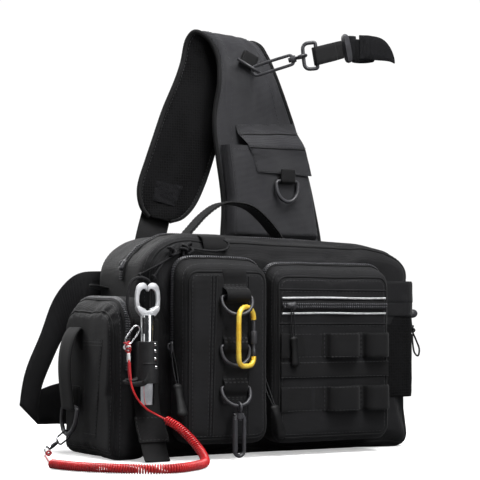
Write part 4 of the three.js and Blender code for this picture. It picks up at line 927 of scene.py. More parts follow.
class TACKLE_OT_lanyard(Builder):
    """Winds the red coil lanyard and lays its leads, and hangs the drawstring at the rod pocket"""
    bl_idname = "tackle.lanyard"
    bl_label = "Coil lanyard and drawstring"

    def build(self, cloth, hard, stage):
        lead = even_path(route(LEAD_ROUTE, 60), 0.002)
        axis = even_path(route(COIL_ROUTE, 160), 0.0005)
        end = even_path(list(reversed(route(END_ROUTE, 60))), 0.002)
        turns = round(line_length(axis) / hard.coil_pitch)
        per_turn = 14
        helix = []
        sides = frames_along(axis, False)
        for k in range(turns * per_turn + 1):
            share = k / (turns * per_turn)
            place = share * (len(axis) - 1)
            i = min(int(place), len(axis) - 2)
            p = axis[i].lerp(axis[i + 1], place - i)
            _, side, lift = sides[i]
            ramp = min(1, min(share, 1 - share) * turns / 1.5)
            r = hard.coil_radius * (3 * ramp ** 2 - 2 * ramp ** 3)
            a = 2 * math.pi * k / per_turn
            helix.append(p + side * (r * math.cos(a)) + lift * (r * math.sin(a)))
        path = lead[:-1] + helix + end[1:]
        piece = tube("coil_lanyard", path, hard.coil_wire / 2, sides=7)
        finish_piece(piece, "polyurethane", "redcoil",
                     replaces=("lanyard_lead", "lanyard_coil", "lanyard_end"))
        tuple(path[0])
        round(line_length(path), 3)
        [tuple(p) for p in path]
        shock = even_path(smooth_path([LOCK + mm(*p) for p in SHOCK_ROUTE], 80), 0.0015)
        cord = tube("drawstring", shock, 0.0011, sides=8)
        finish_piece(cord, "braided_elastic", "rubber", replaces=("shock_cord",))
        tuple(shock[0])
        round(line_length(shock), 3)
        [tuple(p) for p in shock]


class Block:
    """A soft box's sizes, read from the frame: its face outline and depth."""

    def __init__(self, node, corners, front="-y"):
        low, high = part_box(node)
        self.low, self.high = low, high
        self.corners = corners
        self.front = front

    def outline(self, depth, inset=0.0, trim_top=0.0, steps=10):
        """The rounded outline at a depth, with [width, height] corners, in metres."""
        if self.front == "-y":
            def place(u, v):
                return Vector((u, depth, v))
            left, right = self.low.x, self.high.x
        else:
            def place(u, v):
                return Vector((depth, u, v))
            left, right = self.low.y, self.high.y
        corners = [(max(w - inset, 0.003), max(h - inset, 0.003)) for w, h in self.corners]
        return round_rect(left + inset, right - inset, self.low.z + inset, self.high.z - inset - trim_top,
                          corners, place, steps)


MAIN = Block("main_compartment", [(0.012, 0.012), (0.012, 0.012), (0.096, 0.036), (0.05, 0.042)])
TALL = Block("tall_pocket", [(0.015, 0.015)] * 4)
WIDE = Block("wide_pocket", [(0.015, 0.015)] * 4)
ENDP = Block("end_pocket", [(0.010, 0.010)] * 2 + [(0.03, 0.03)] * 2, front="-x")
FORMS = {}


def seam_on(form, block, depth, inset, trim_top=0.0, lift=0.0):
    line = even_path(block.outline(depth, inset, trim_top), SEAM_STEP, closed=True)
    return settle(line, FORMS[form], lift, closed=True)


def closed_line(line):
    return line + [line[0]]


def finish_form(form, key, node):
    """Refines a sculpted cloth form and keeps its surface for the seams that lie on it."""
    subdivided(form, 1)
    rest_on_floor(form)
    shade(form, 80)
    FORMS[key] = tree_of(form)
    finish_piece(form, "coated_nylon", "nylon", replaces=(node,))


class TACKLE_OT_compartment(Builder):
    """Puffs the main compartment and sews its panel seams"""
    bl_idname = "tackle.compartment"
    bl_label = "Main compartment"

    def build(self, cloth, hard, stage):
        body = hull_form("main_compartment_cloth", "main_compartment", cloth.voxel)
        puffed(body, 3.0, 0.003)
        front, back = MAIN.low.y + 0.0035, MAIN.high.y - 0.0035
        seams = [even_path(MAIN.outline(d, 0.004), SEAM_STEP, closed=True) for d in (front, back)]
        sculpt(body, summed(
            folds(0.075, cloth.fold, (1, 1, 1.6), 3.1),
            folds(0.028, cloth.fold * 0.35, (1, 1, 2.2), 8.4),
            creases(seams, 0.004, 0.0009),
            lambda p, n: -0.004 * max(0, n.z) * math.exp(-((p.x - 0.06) / 0.09) ** 2),
        ))
        finish_form(body, "main", "main_compartment")
        lines, pipes = [], []
        for depth, way in ((front, 1), (back, -1)):
            line = seam_on("main", MAIN, depth, 0.004)
            pipes.append(tube("piece", [p for p, n in line], 0.0013, sides=8, closed=True))
            lines.append(closed_line(seam_on("main", MAIN, depth + way * 0.0055, 0.0, 0.0, SEAM_LIFT)))
        finish_piece(joined("main_binding", pipes), "webbing", "webbing")
        finish_piece(stitches("main_stitching", lines), "thread", "nylon")


class TACKLE_OT_pockets(Builder):
    """Puffs the front and end pockets, and sews their gussets, seams and the slip pocket"""
    bl_idname = "tackle.pockets"
    bl_label = "Pockets"

    def build(self, cloth, hard, stage):
        for key, node, block, face in (("tall", "tall_pocket", TALL, TALL.low.y),
                                       ("wide", "wide_pocket", WIDE, WIDE.low.y),
                                       ("end", "end_pocket", ENDP, ENDP.low.x)):
            form = hull_form(f"{node}_cloth", node, 0.003)
            # The webbing and piping lie on the front pockets' faces, so those two swell only a little
            puffed(form, 3.0, 0.0022 if key == "end" else 0.0004)
            seam = even_path(block.outline(face + 0.001, 0.0055, trim_top=0.011), SEAM_STEP, closed=True)
            sculpt(form, summed(
                folds(0.05, cloth.fold * 0.7, (1, 1, 1.9), 1.3 + len(key)),
                folds(0.017, cloth.fold * 0.22, (1, 1, 2.4), 5.2),
                creases([seam], 0.0035, 0.0008),
            ))
            finish_form(form, key, node)
            line = seam_on(key, block, face + 0.001, 0.0055, trim_top=0.011)
            pipe = tube(f"{node}_binding", [p for p, n in line], 0.0011, sides=8, closed=True)
            finish_piece(pipe, "webbing", "webbing")
            rows = [closed_line(seam_on(key, block, face + 0.0005, 0.0095, 0.011, SEAM_LIFT)),
                    closed_line(seam_on(key, block, face + 0.007, 0.0, 0.008, SEAM_LIFT))]
            finish_piece(stitches(f"{node}_stitching", rows), "thread", "nylon")
        low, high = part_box("slip_pocket")
        x = (low.x + high.x) / 2 - 0.0006
        lefts = smooth_path([Vector((x, -0.027, low.z)), Vector((x, -0.036, 0.08)),
                             Vector((x, -0.045, high.z))], 20)
        rights = smooth_path([Vector((x, high.y, low.z)), Vector((x, high.y, 0.08)),
                              Vector((x, high.y, high.z))], 20)
        slip, at = strip("slip_pocket_cloth", lefts, rights, 0.0016, across=14,
                         ripple=lambda v, u, p: 0.0008 * noise.noise(p / 0.02))
        finish_piece(slip, "coated_nylon", "nylon", replaces=("slip_pocket",))
        lines = [surface_line(at, [(0.02, c), (0.98, c)], -1) for c in (-0.93, 0.93)]
        lines += [surface_line(at, [(s, -0.93), (s, 0.93)], -1) for s in (0.03, 0.93, 0.97)]
        finish_piece(stitches("slip_pocket_stitching", lines), "thread", "nylon")


def zip_run(name, line, width, cloth):
    """A zip along a line of (point, normal) pairs: two tapes and two rows of teeth that mesh."""
    points = [p for p, _ in line]
    frames = frames_along(points, False, up=[n for _, n in line])
    lefts = [p - f[1] * (width / 2) for p, f in zip(points, frames)]
    rights = [p + f[1] * (width / 2) for p, f in zip(points, frames)]
    lift = [n * 0.0006 for _, n in line]
    tape, _ = strip(f"{name}_tape", [a + n for a, n in zip(lefts, lift)],
                    [b + n for b, n in zip(rights, lift)], 0.0010, across=8)
    rows = []
    for side, shift in ((-1, 0), (1, 1)):
        row = [(p + f[1] * (side * 0.0014) + n * 0.0016, n) for (p, n), f in zip(line, frames)]
        rows.append(row[shift:])
    tooth = units_along(f"{name}_teeth", rows, cloth.tooth, grain(0.0016, 0.0036, 0.0026), "zip_teeth")
    return tape, tooth


def zip_line(form, block, depth, low_z):
    """The zip's line over a form: the part of the outline that lies above a height."""
    ring = even_path(block.outline(depth), 0.002, closed=True)
    top = [p for p in ring if p.z > low_z]
    start = next(i for i, p in enumerate(ring) if p.z > low_z and ring[i - 1].z <= low_z)
    ordered = [ring[(start + k) % len(ring)] for k in range(len(top))]
    return settle(ordered, FORMS[form])


def slider(name, place, normal, along, size=1.0):
    """A zip slider: a low domed body with a raised bridge."""
    side = normal.cross(along).normalized()
    turn = Matrix((along, side, normal)).transposed().to_4x4()
    spot = Matrix.Translation(place + normal * 0.0022) @ turn
    parts = []
    rows = ((-5.2, 1.6, 0.4), (-4.4, 3.0, 1.5), (-1.5, 3.4, 2.0), (2.0, 3.4, 1.9), (4.4, 4.2, 1.5),
            (5.4, 3.4, 0.5))
    body = tube("piece", [spot @ Vector((a * MM * size, 0, 0)) for a, _, _ in rows],
                [b * MM * size for _, b, _ in rows], sides=14, flat=0.5, up=normal)
    parts.append(body)
    places = ((-3.4, 0, 0.8), (-2.9, 0, 2.6), (-0.6, 0, 3.5), (2.0, 0, 2.6), (2.6, 0, 0.8))
    bridge = [spot @ (Vector(p) * MM * size) for p in places]
    parts.append(tube("piece", smooth_path(bridge, 14), 0.0007 * size, sides=8))
    return joined(name, parts)


class TACKLE_OT_zips(Builder):
    """Lays the tapes and teeth of every zip, with their sliders"""
    bl_idname = "tackle.zips"
    bl_label = "Zips"

    def build(self, cloth, hard, stage):
        tapes, teeth, sliders = [], [], []
        for name, form, block, node, low in (
            ("main_zip", "main", MAIN, "main_zip", 0.187),
            ("tall_pocket_zip", "tall", TALL, "tall_pocket_zip", 0.105),
            ("wide_pocket_zip", "wide", WIDE, "wide_pocket_zip", 0.079),
            ("end_pocket_zip", "end", ENDP, "end_pocket_zip", 0.093),
        ):
            lo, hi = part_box(node)
            depth = (lo.y + hi.y) / 2 if form != "end" else (lo.x + hi.x) / 2
            line = zip_line(form, block, depth, low)
            tape, tooth = zip_run(name, line, 0.012 if form == "main" else 0.0105, cloth)
            finish_piece(tape, "webbing", "zip", replaces=(node,))
            finish_piece(tooth, "zip_teeth", "zip")
            if form == "end":
                continue
            i = 6 if form != "main" else 8
            spot, n = line[-i]
            tangent = (line[-i][0] - line[-i - 1][0]).normalized()
            sliders.append(slider("piece", spot, n, tangent, 1.1))
        low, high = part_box("face_zip")
        y, z = low.y, (low.z + high.z) / 2
        line = [(Vector((x, y, z)), Vector((0, -1, 0))) for x in np.linspace(low.x, high.x, 60)]
        tape, tooth = zip_run("face_zip", line, high.z - low.z, cloth)
        finish_piece(tape, "webbing", "zip", replaces=("face_zip",))
        finish_piece(tooth, "zip_teeth", "zip")
        sliders.append(slider("piece", Vector((-0.015, y, z)), Vector((0, -1, 0)), Vector((1, 0, 0)), 1.0))
        finish_piece(joined("zip_sliders", sliders), "moulded_acetal", "plastic")


BAND_SPANS = ((0.42, 0.72), (0.76, 0.99))
BAND_ROWS = ((0, 0), (0.08, 0.55), (0.22, 0.9), (0.5, 1), (0.78, 0.9), (0.92, 0.55), (1, 0))
LADDER_BULGE = ((-1.9, 0), (-1.1, 0.72), (-0.5, 1), (0.5, 1), (1.1, 0.72), (1.9, 0))


class TACKLE_OT_ladder(Builder):
    """Sews the ring webbing, the loop bands and the reflective piping to the front pockets"""
    bl_idname = "tackle.ladder"
    bl_label = "Webbing on the pockets"

    def build(self, cloth, hard, stage):
        flat = -TALL.low.y * 1000 + 0.3 + 0.9
        rows = []
        for z, rise in ((76, 3.4), (119, 3.4), (170, 10.3)):
            rows += [(-83, -flat - rise * share, z + along * 5) for along, share in LADDER_BULGE]
        points = [(-83, -flat, 58)] + rows + [(-83, -flat + 0.6, 193), (-83, -flat + 2.0, 197)]
        web, at = strap("ring_webbing_cloth", [mm(*p) for p in points], Vector((1, 0, 0)), 0.028, 0.0018,
                        samples=140)
        finish_piece(web, "webbing", "webbing", replaces=("ring_webbing",))
        lines = []
        for s in (0.03, 0.22, 0.27, 0.5, 0.56, 0.86, 0.9):
            for k in (-0.006, 0.006):
                lines.append(surface_line(at, [(s + k, -0.86), (s + k, 0.86)], face_side(at)))
        low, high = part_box("band_upper")
        left, right = low.x * 1000, high.x * 1000
        out = -WIDE.low.y * 1000 + 0.3 + 0.8
        for name, z, height, loops in (("band_upper", 117, 27, True), ("band_middle", 91, 17, False),
                                       ("band_lower", 60, 27, True)):
            path = [(left, -out, z)]
            if loops:
                for a, b in BAND_SPANS:
                    path += [(-29 + (a + (b - a) * t) * 139, -out - 10 * share, z) for t, share in BAND_ROWS]
            path.append((right, -out, z))
            if not loops:
                path = [(left + (right - left) * k / 12, -out, z) for k in range(13)]
            band, at = strap(f"{name}_cloth", [mm(*p) for p in path], Vector((0, 0, 1)), height * MM, 0.0016,
                             samples=120, across=12)
            finish_piece(band, "webbing", "webbing", replaces=(name,))
            side = face_side(at)
            lines += [surface_line(at, [(0.01, c), (0.34, c)], side) for c in (-0.9, 0.9)]
            if loops:
                for x in (27.5, 72.6, 75, 109.4):
                    share = nearest_share(at, "x", x * MM)
                    lines.append(surface_line(at, [(share, -0.9), (share, 0.9)], side))
            else:
                lines += [surface_line(at, [(0.34, c), (0.99, c)], side) for c in (-0.9, 0.9)]
        finish_piece(stitches("front_webbing_stitching", lines), "thread", "webbing")
        for node in ("piping_upper", "piping_lower"):
            low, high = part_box(node)
            y, z = (low.y + high.y) / 2, (low.z + high.z) / 2
            line = [Vector((x, y + 0.0004 * math.sin(x * 90), z + 0.0003 * math.sin(x * 60)))
                    for x in np.linspace(low.x, high.x, 60)]
            pipe = tube(f"{node}_film", line, 0.00115, sides=12)
            finish_piece(pipe, "reflective_film", "piping", replaces=(node,))


def face_side(at):
    """The side of a strip that looks to the front."""
    return 1 if at(0.5, 0, 1)[1].y < 0 else -1


def nearest_share(at, axis, value):
    """The share along a strip at which its middle line comes nearest to a coordinate."""
    shares = [k / 400 for k in range(401)]
    return min(shares, key=lambda s: abs(getattr(at(s, 0)[0], axis) - value))


SLING_ROWS = (
    (-0.493, -0.088, 0.493, -0.088, 0), (-0.507, 0.024, 0.493, 0.008, 0), (-0.493, 0.2, 0.433, 0.184, 0),
    (-0.552, 0.404, 0.328, 0.392, 0), (-0.582, 0.572, 0.216, 0.576, 0), (-0.53, 0.764, 0.052, 0.792, 0),
    (-0.53, 0.876, -0.045, 0.912, 0.12), (-0.612, 0.972, -0.09, 0.952, 0.3), (-0.716, 1, -0.164, 0.968, 0.6),
    (-0.761, 0.968, -0.209, 0.912, 0.85), (-0.806, 0.848, -0.284, 0.76, 1), (-0.985, 0.616, -0.448, 0.496, 1),
    (-1.142, 0.388, -0.597, 0.276, 0.98), (-1.224, 0.244, -0.694, 0.18, 0.94),
    (-1.2, 0.164, -0.813, 0.12, 0.9), (-1.134, 0.12, -0.933, 0.1, 0.88),
)
SLING_MIDDLE = 67.3 + 4


def sling_point(x, z, back):
    return mm(62 + x * 134, SLING_MIDDLE + back * 25, 234 + z * 250)


class TACKLE_OT_sling(Builder):
    """Makes the padded shoulder sling with its binding, pouch, flap, ring tabs and tail webbing"""
    bl_idname = "tackle.sling"
    bl_label = "Shoulder sling"

    def build(self, cloth, hard, stage):
        lefts = smooth_path([sling_point(r[0], r[1], r[4]) for r in SLING_ROWS], 150)
        rights = smooth_path([sling_point(r[2], r[3], r[4]) for r in SLING_ROWS], 150)

        def pull(v, u, p):
            near = math.exp(-((v - 0.245) / 0.05) ** 2)
            return (0.0022 * noise.noise(Vector((u / 0.03, v / 0.05, 2.0)))
                    + 0.003 * near * noise.noise(Vector((u / 0.011, v / 0.07, 7.0))))
        sling, at = strip("shoulder_sling_pad", lefts, rights, 0.0074, across=26, crisp=4.0, ripple=pull)
        sling.data.materials.append(MATERIALS["sling_nylon"])
        sling.data.materials.append(MATERIALS["spacer_mesh"])
        outer = 1 if at(0.2, 0, 1)[1].y < 0 else -1
        layer = sling.data.uv_layers["run"]
        for poly in sling.data.polygons:
            back = sum(layer.data[i].uv.x > 0.25 for i in poly.loop_indices) > len(poly.loop_indices) / 2
            poly.material_index = 1 if back == (outer == 1) else 0
        finish_piece(sling, "sling_nylon", "nylon", replaces=("shoulder_sling",))
        pipes = []
        for edge in (-1, 1):
            line = [at(s / 200, edge * 0.985)[0] for s in range(0, 201)]
            inner = [at(s / 200, edge * 0.985, -1)[0] for s in range(0, 201)]
            mids = [(a + b) / 2 for a, b in zip(line, inner)]
            pipes.append(tube("piece", mids, 0.0029, sides=10))
        finish_piece(joined("sling_binding", pipes), "webbing", "webbing")
        lines = [line_on(at, c, outer) for c in (-0.9, 0.9, -0.62, 0.62)]
        lines += [line_on(at, c, -outer) for c in (-0.9, 0.9)]
        finish_piece(stitches("sling_stitching", lines), "thread", "nylon")
        rows = [at(0.835 + 0.06 * k / 20, -0.5, -outer) for k in range(21)]
        ends = [at(0.825 + 0.07 * k / 20, 0.35, -outer) for k in range(21)]
        nap, _ = strip("sling_loop_patch", [p + n * 0.0004 for p, n in rows],
                       [p + n * 0.0004 for p, n in ends], 0.0016, across=16,
                       ripple=lambda v, u, p: 0.0012 * noise.noise(p / 0.005))
        finish_piece(nap, "loop_tape", "nylon")
        self.pouch()
        self.tail()

    def pouch(self):
        low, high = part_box("sling_pouch")
        rows = ((0, -2, 122), (0.45, -1, 114), (1, -9, 99))
        back, front = high.y, low.y
        verts, faces = [], []
        grid_u, grid_v = 46, 40
        for j in range(grid_v + 1):
            t = j / grid_v
            (s0, l0, r0), (s1, l1, r1) = (rows[0], rows[1]) if t < 0.45 else (rows[1], rows[2])
            k = (t - s0) / (s1 - s0)
            left, right = (l0 + (l1 - l0) * k) * MM, (r0 + (r1 - r0) * k) * MM
            z = low.z + t * (high.z - low.z)
            for i in range(grid_u + 1):
                c = i / grid_u
                x = left + c * (right - left)
                edge = min(c, 1 - c) * (right - left)
                rise = min(1, edge / 0.006) ** 0.5 * min(1, (z - low.z) / 0.006 + 0.05) ** 0.5
                y = back + (front - back) * rise
                y += 0.0012 * noise.noise(Vector((x / 0.02, z / 0.035, 4.0))) * rise
                verts.append(Vector((x, y, z)))
        for j in range(grid_v):
            for i in range(grid_u):
                a = j * (grid_u + 1) + i
                faces.append((a, a + 1, a + grid_u + 2, a + grid_u + 1))
        pouch = mesh_object("sling_pouch_cloth", verts, faces)
        solid = pouch.modifiers.new("Solidify", "SOLIDIFY")
        solid.thickness, solid.offset = 0.0014, -1
        evaluated_mesh(pouch)
        outwards(pouch)
        shade(pouch, 60)
        finish_piece(pouch, "sling_nylon", "nylon", replaces=("sling_pouch",))
        FORMS["pouch"] = tree_of(pouch)
        y = front - 0.01
        corners = ((2, 243), (118, 243), (111, 288), (95.5, 344), (-4.5, 344), (3, 288))
        line = even_path([Vector((x * MM, y, z * MM)) for x, z in corners], SEAM_STEP, closed=True)
        lines = [closed_line(settle(line, FORMS["pouch"], SEAM_LIFT, True))]
        out, top = 54.55, 66.1
        lefts = [(10, top, 374), (12, top - 2, 364), (20, out, 350), (27, out, 334), (33, out, 318)]
        rights = [(90, top, 379), (92, top - 2, 369), (97, out, 351), (102, out, 334), (107, out, 316)]
        box_low, box_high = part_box("pouch_flap")
        shift = box_low.y * 1000 - (out - 0.8)
        lefts, rights = ([(x, y + shift, z) for x, y, z in side] for side in (lefts, rights))

        def sag(v, u, p):
            return 0.0011 * noise.noise(Vector((u / 0.022, v / 0.02, 9.0)))
        flap, at = strip("pouch_flap_cloth", route(lefts, 50), route(rights, 50), 0.0018, across=24,
                         ripple=sag)
        finish_piece(flap, "sling_nylon", "nylon", replaces=("pouch_flap",))
        side = face_side(at)
        lines.append(surface_line(at, sewn_box(0.03, 0.97, 0.93), side))
        seams = [surface_line(at, [(share, -0.97), (share, 0.97)], side) for share in (0.3, 0.56)]
        ridges = [tube("piece", [p for p, n in seam], 0.0007, sides=8) for seam in seams]
        finish_piece(joined("pouch_flap_seams", ridges), "webbing", "nylon")
        lines += [[(p + mm(0, 0, 2.4), n) for p, n in seam] for seam in seams]
        finish_piece(stitches("pouch_stitching", lines), "thread", "nylon")

    def tail(self):
        back = SLING_MIDDLE + 25 + 4 + 0.3 + 0.9
        points = [(-1.0, 0.24, back), (-1.04, 0.12, back), (-1.13, 0.02, 89), (-1.25, -0.16, 75),
                  (-1.31, -0.28, 68.4), (-1.36, -0.42, 68.4)]
        path = [mm(62 + x * 134, y, 234 + z * 250) for x, z, y in points]
        tail, at = strap("sling_webbing_cloth", path, Vector((0.92, 0, -0.38)), 0.038, 0.0018, samples=60,
                         across=14)
        finish_piece(tail, "webbing", "webbing", replaces=("sling_webbing",))
        # A crossed box at the upper end, and two rows at the lower one
        rows = ((0.02, 0.16), (0.16, 0.02), (0.02, 0.02), (0.16, 0.16), (0.9, 0.9), (0.96, 0.96))
        lines = [surface_line(at, [(start, -0.85), (end, 0.85)], -face_side(at)) for start, end in rows]
        finish_piece(stitches("sling_webbing_stitching", lines), "thread", "webbing")
        for node in ("sling_tab_lower", "sling_tab_upper"):
            finish_piece(refined(f"{node}_cloth", [node], 0.0002, 2, 40), "webbing", "webbing",
                         replaces=(node,))


def line_on(at, across, side):
    """An edge-to-edge line of (point, normal) pairs along a strip."""
    out = []
    for k in range(4, 197):
        p, n = at(k / 200, across, side)
        out.append((p + n * STRAP_SEAM_LIFT, n))
    return out


class TACKLE_OT_straps(Builder):
    """Makes the top handle, the tabs, the keeper strap, the side band and the end strap"""
    bl_idname = "tackle.straps"
    bl_label = "Handle, tabs and straps"

    def build(self, cloth, hard, stage):
        rows = ((0, 0.02), (0.07, 0.22), (0.2, 0.62), (0.36, 0.94), (0.5, 1), (0.68, 0.9), (0.84, 0.55),
                (0.95, 0.2), (1, 0.02))
        top = 234 + 0.3 + 1.6
        path = [(-98, 20, top)] + [(-82 + a * 124, 20, top + r * 41) for a, r in rows] + [(56, 20, top)]
        handle, at = strap("top_handle_webbing", [mm(*p) for p in path], Vector((0, 1, 0)), 0.025, 0.003,
                           samples=110, crown=0.0002)
        finish_piece(handle, "webbing", "webbing", replaces=("top_handle",))
        lines = []
        for a, b in ((0.015, 0.09), (0.915, 0.985)):
            box = sewn_box(a, b, 0.8) + [(b, 0.8)]
            lines.append(surface_line(at, box, 1 if at(0.5, 0, 1)[1].z > 0 else -1))
        lines += [surface_line(at, [(k / 10, c) for k in (1, 3, 5, 7, 9)], s)
                  for c in (-0.86, 0.86) for s in (1, -1)]
        for node, slot in (("lid_tab", "webbing"), ("end_tab", "nylon"), ("end_strap", "webbing"),
                           ("gripper_strap", "webbing")):
            finish_piece(refined(f"{node}_webbing", [node], 0.0, 2, 40), "webbing", slot, replaces=(node,))
        for node, material, slot in (
            ("keeper_webbing", "webbing", "webbing"),
            ("keeper_tail", "loop_tape", "webbing"),
            ("side_band", "coated_nylon", "nylon"),
            ("rod_pocket", "spacer_mesh", "mesh"),
        ):
            finish_piece(refined(f"{node}_cloth", [node], 0.0, 2, 40), material, slot, replaces=(node,))
        tree = tree_of(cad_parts["gripper_strap"])
        keeper = []
        for z in (46, 40, 33, 26, 20):
            hits = [tree.ray_cast(mm(x, -200, z), Vector((0, 1, 0)))[0] for x in range(-185, -140)]
            hits = [p for p in hits if p]
            keeper.append((hits[0] + hits[-1]) / 2 + mm(0, -1.3, 0))
        patch, at = strap("gripper_strap_patch", keeper, Vector((1, 0, 0)), 0.034, 0.0022, samples=24)
        finish_piece(patch, "webbing", "webbing")
        lines.append(surface_line(at, sewn_box(0.08, 0.92, 0.92), face_side(at)))
        finish_piece(stitches("strap_stitching", lines), "thread", "webbing")


class TACKLE_OT_hardware(Builder):
    """Makes smooth rings, hooks, the carabiner, the buckle, the drawstring's cord lock and the gate's sleeve
    """
    bl_idname = "tackle.hardware"
    bl_label = "Rings, hooks and carabiner"

    def build(self, cloth, hard, stage):
        for name, nodes, swell, material, slot, body in (
            ("pocket_rings", ["ring_upper", "ring_middle", "ring_lower"], 0.0007, "moulded_acetal", "plastic",
             BAG),
            ("sling_ring_front", ["sling_ring_lower"], 0.0010, "moulded_acetal", "plastic", BAG),
            ("sling_ring_shoulder", ["sling_ring_upper"], 0.0003, "moulded_acetal", "plastic", BAG),
            ("keeper_oval_ring", ["keeper_ring"], 0.0009, "moulded_acetal", "plastic", BAG),
            ("end_strap_ring", ["end_ring"], 0.0010, "moulded_acetal", "plastic", BAG),
            ("swivel_eyes", ["hook_eye", "keeper_eye"], 0.0005, "moulded_acetal", "plastic", BAG),
            ("front_snap_hook", ["hook_body"], 0.0007, "moulded_acetal", "plastic", "snap_hook"),
            ("keeper_snap_hook_body", ["keeper_hook"], 0.0003, "moulded_acetal", "plastic",
             "keeper_snap_hook"),
            ("carabiner_body", ["carabiner"], 0.0006, "anodised_aluminium", "anodised", BAG),
            ("keeper_buckle_bar", ["keeper_buckle"], 0.0003, "moulded_acetal", "plastic", BAG),
        ):
            finish_piece(refined(name, nodes, swell), material, slot, body, nodes)
        low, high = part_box("hook_body")
        middle = (low + high) / 2

        def bar(xs, y, zs, radius, sides, flat=1.0):
            """A bar at places beside the hook's left edge and its middle depth."""
            points = [Vector((low.x + x * MM, middle.y + y, z * MM)) for x in xs for z in zs]
            return tube("piece", points, radius, sides=sides, flat=flat)
        spine = [bar((2.4,), -0.0004, (9, 11, 26, 41, 43), 0.0026, 16, 0.7)]
        spine += [bar((x,), -0.0021, (9.5, 11, 26, 41, 42.5), 0.0008, 10) for x in (1.1, 3.7)]
        collar = [bar((0.6, 2, 8, 11.5, 12.6), 0.0, (z,), 0.0015, 12) for z in (44.3, 47.0)]
        finish_piece(joined("snap_hook_spine", spine + collar), "moulded_acetal", "plastic", "snap_hook")
        low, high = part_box("cord_lock")
        middle = (low + high) / 2
        turns = [math.pi * k / 14 for k in range(15)]
        egg = [(5.2 * MM * math.sin(a) ** 0.8, (6.8 - 6.8 * math.cos(a)) * MM) for a in turns]
        lock = lathe("drawstring_lock", egg, Vector((low.x, middle.y, middle.z - 0.0008)),
                     Vector((1, 0, 0.12)), 24)
        finish_piece(lock, "moulded_acetal", "plastic", BAG, ["cord_lock"])
        low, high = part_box("carabiner_gate")
        foot = Vector(((low.x + high.x) / 2, (low.y + high.y) / 2, low.z))
        rows = ((0, 0.5), (1.7, 1), (2.1, 3), (2.1, 7), (1.7, 7.6), (1.7, 13), (3.0, 13.3), (3.4, 14.2),
                (3.4, 25.4), (3.0, 26.3), (2.0, 26.6), (2.0, 35.5), (1.5, 37.2), (0, 37.4))
        sleeve = lathe("carabiner_sleeve", [(r * MM, h * MM) for r, h in rows], foot, Vector((0, 0, 1)), 24)
        finish_piece(sleeve, "moulded_acetal", "plastic", "gate", ["carabiner_gate"])


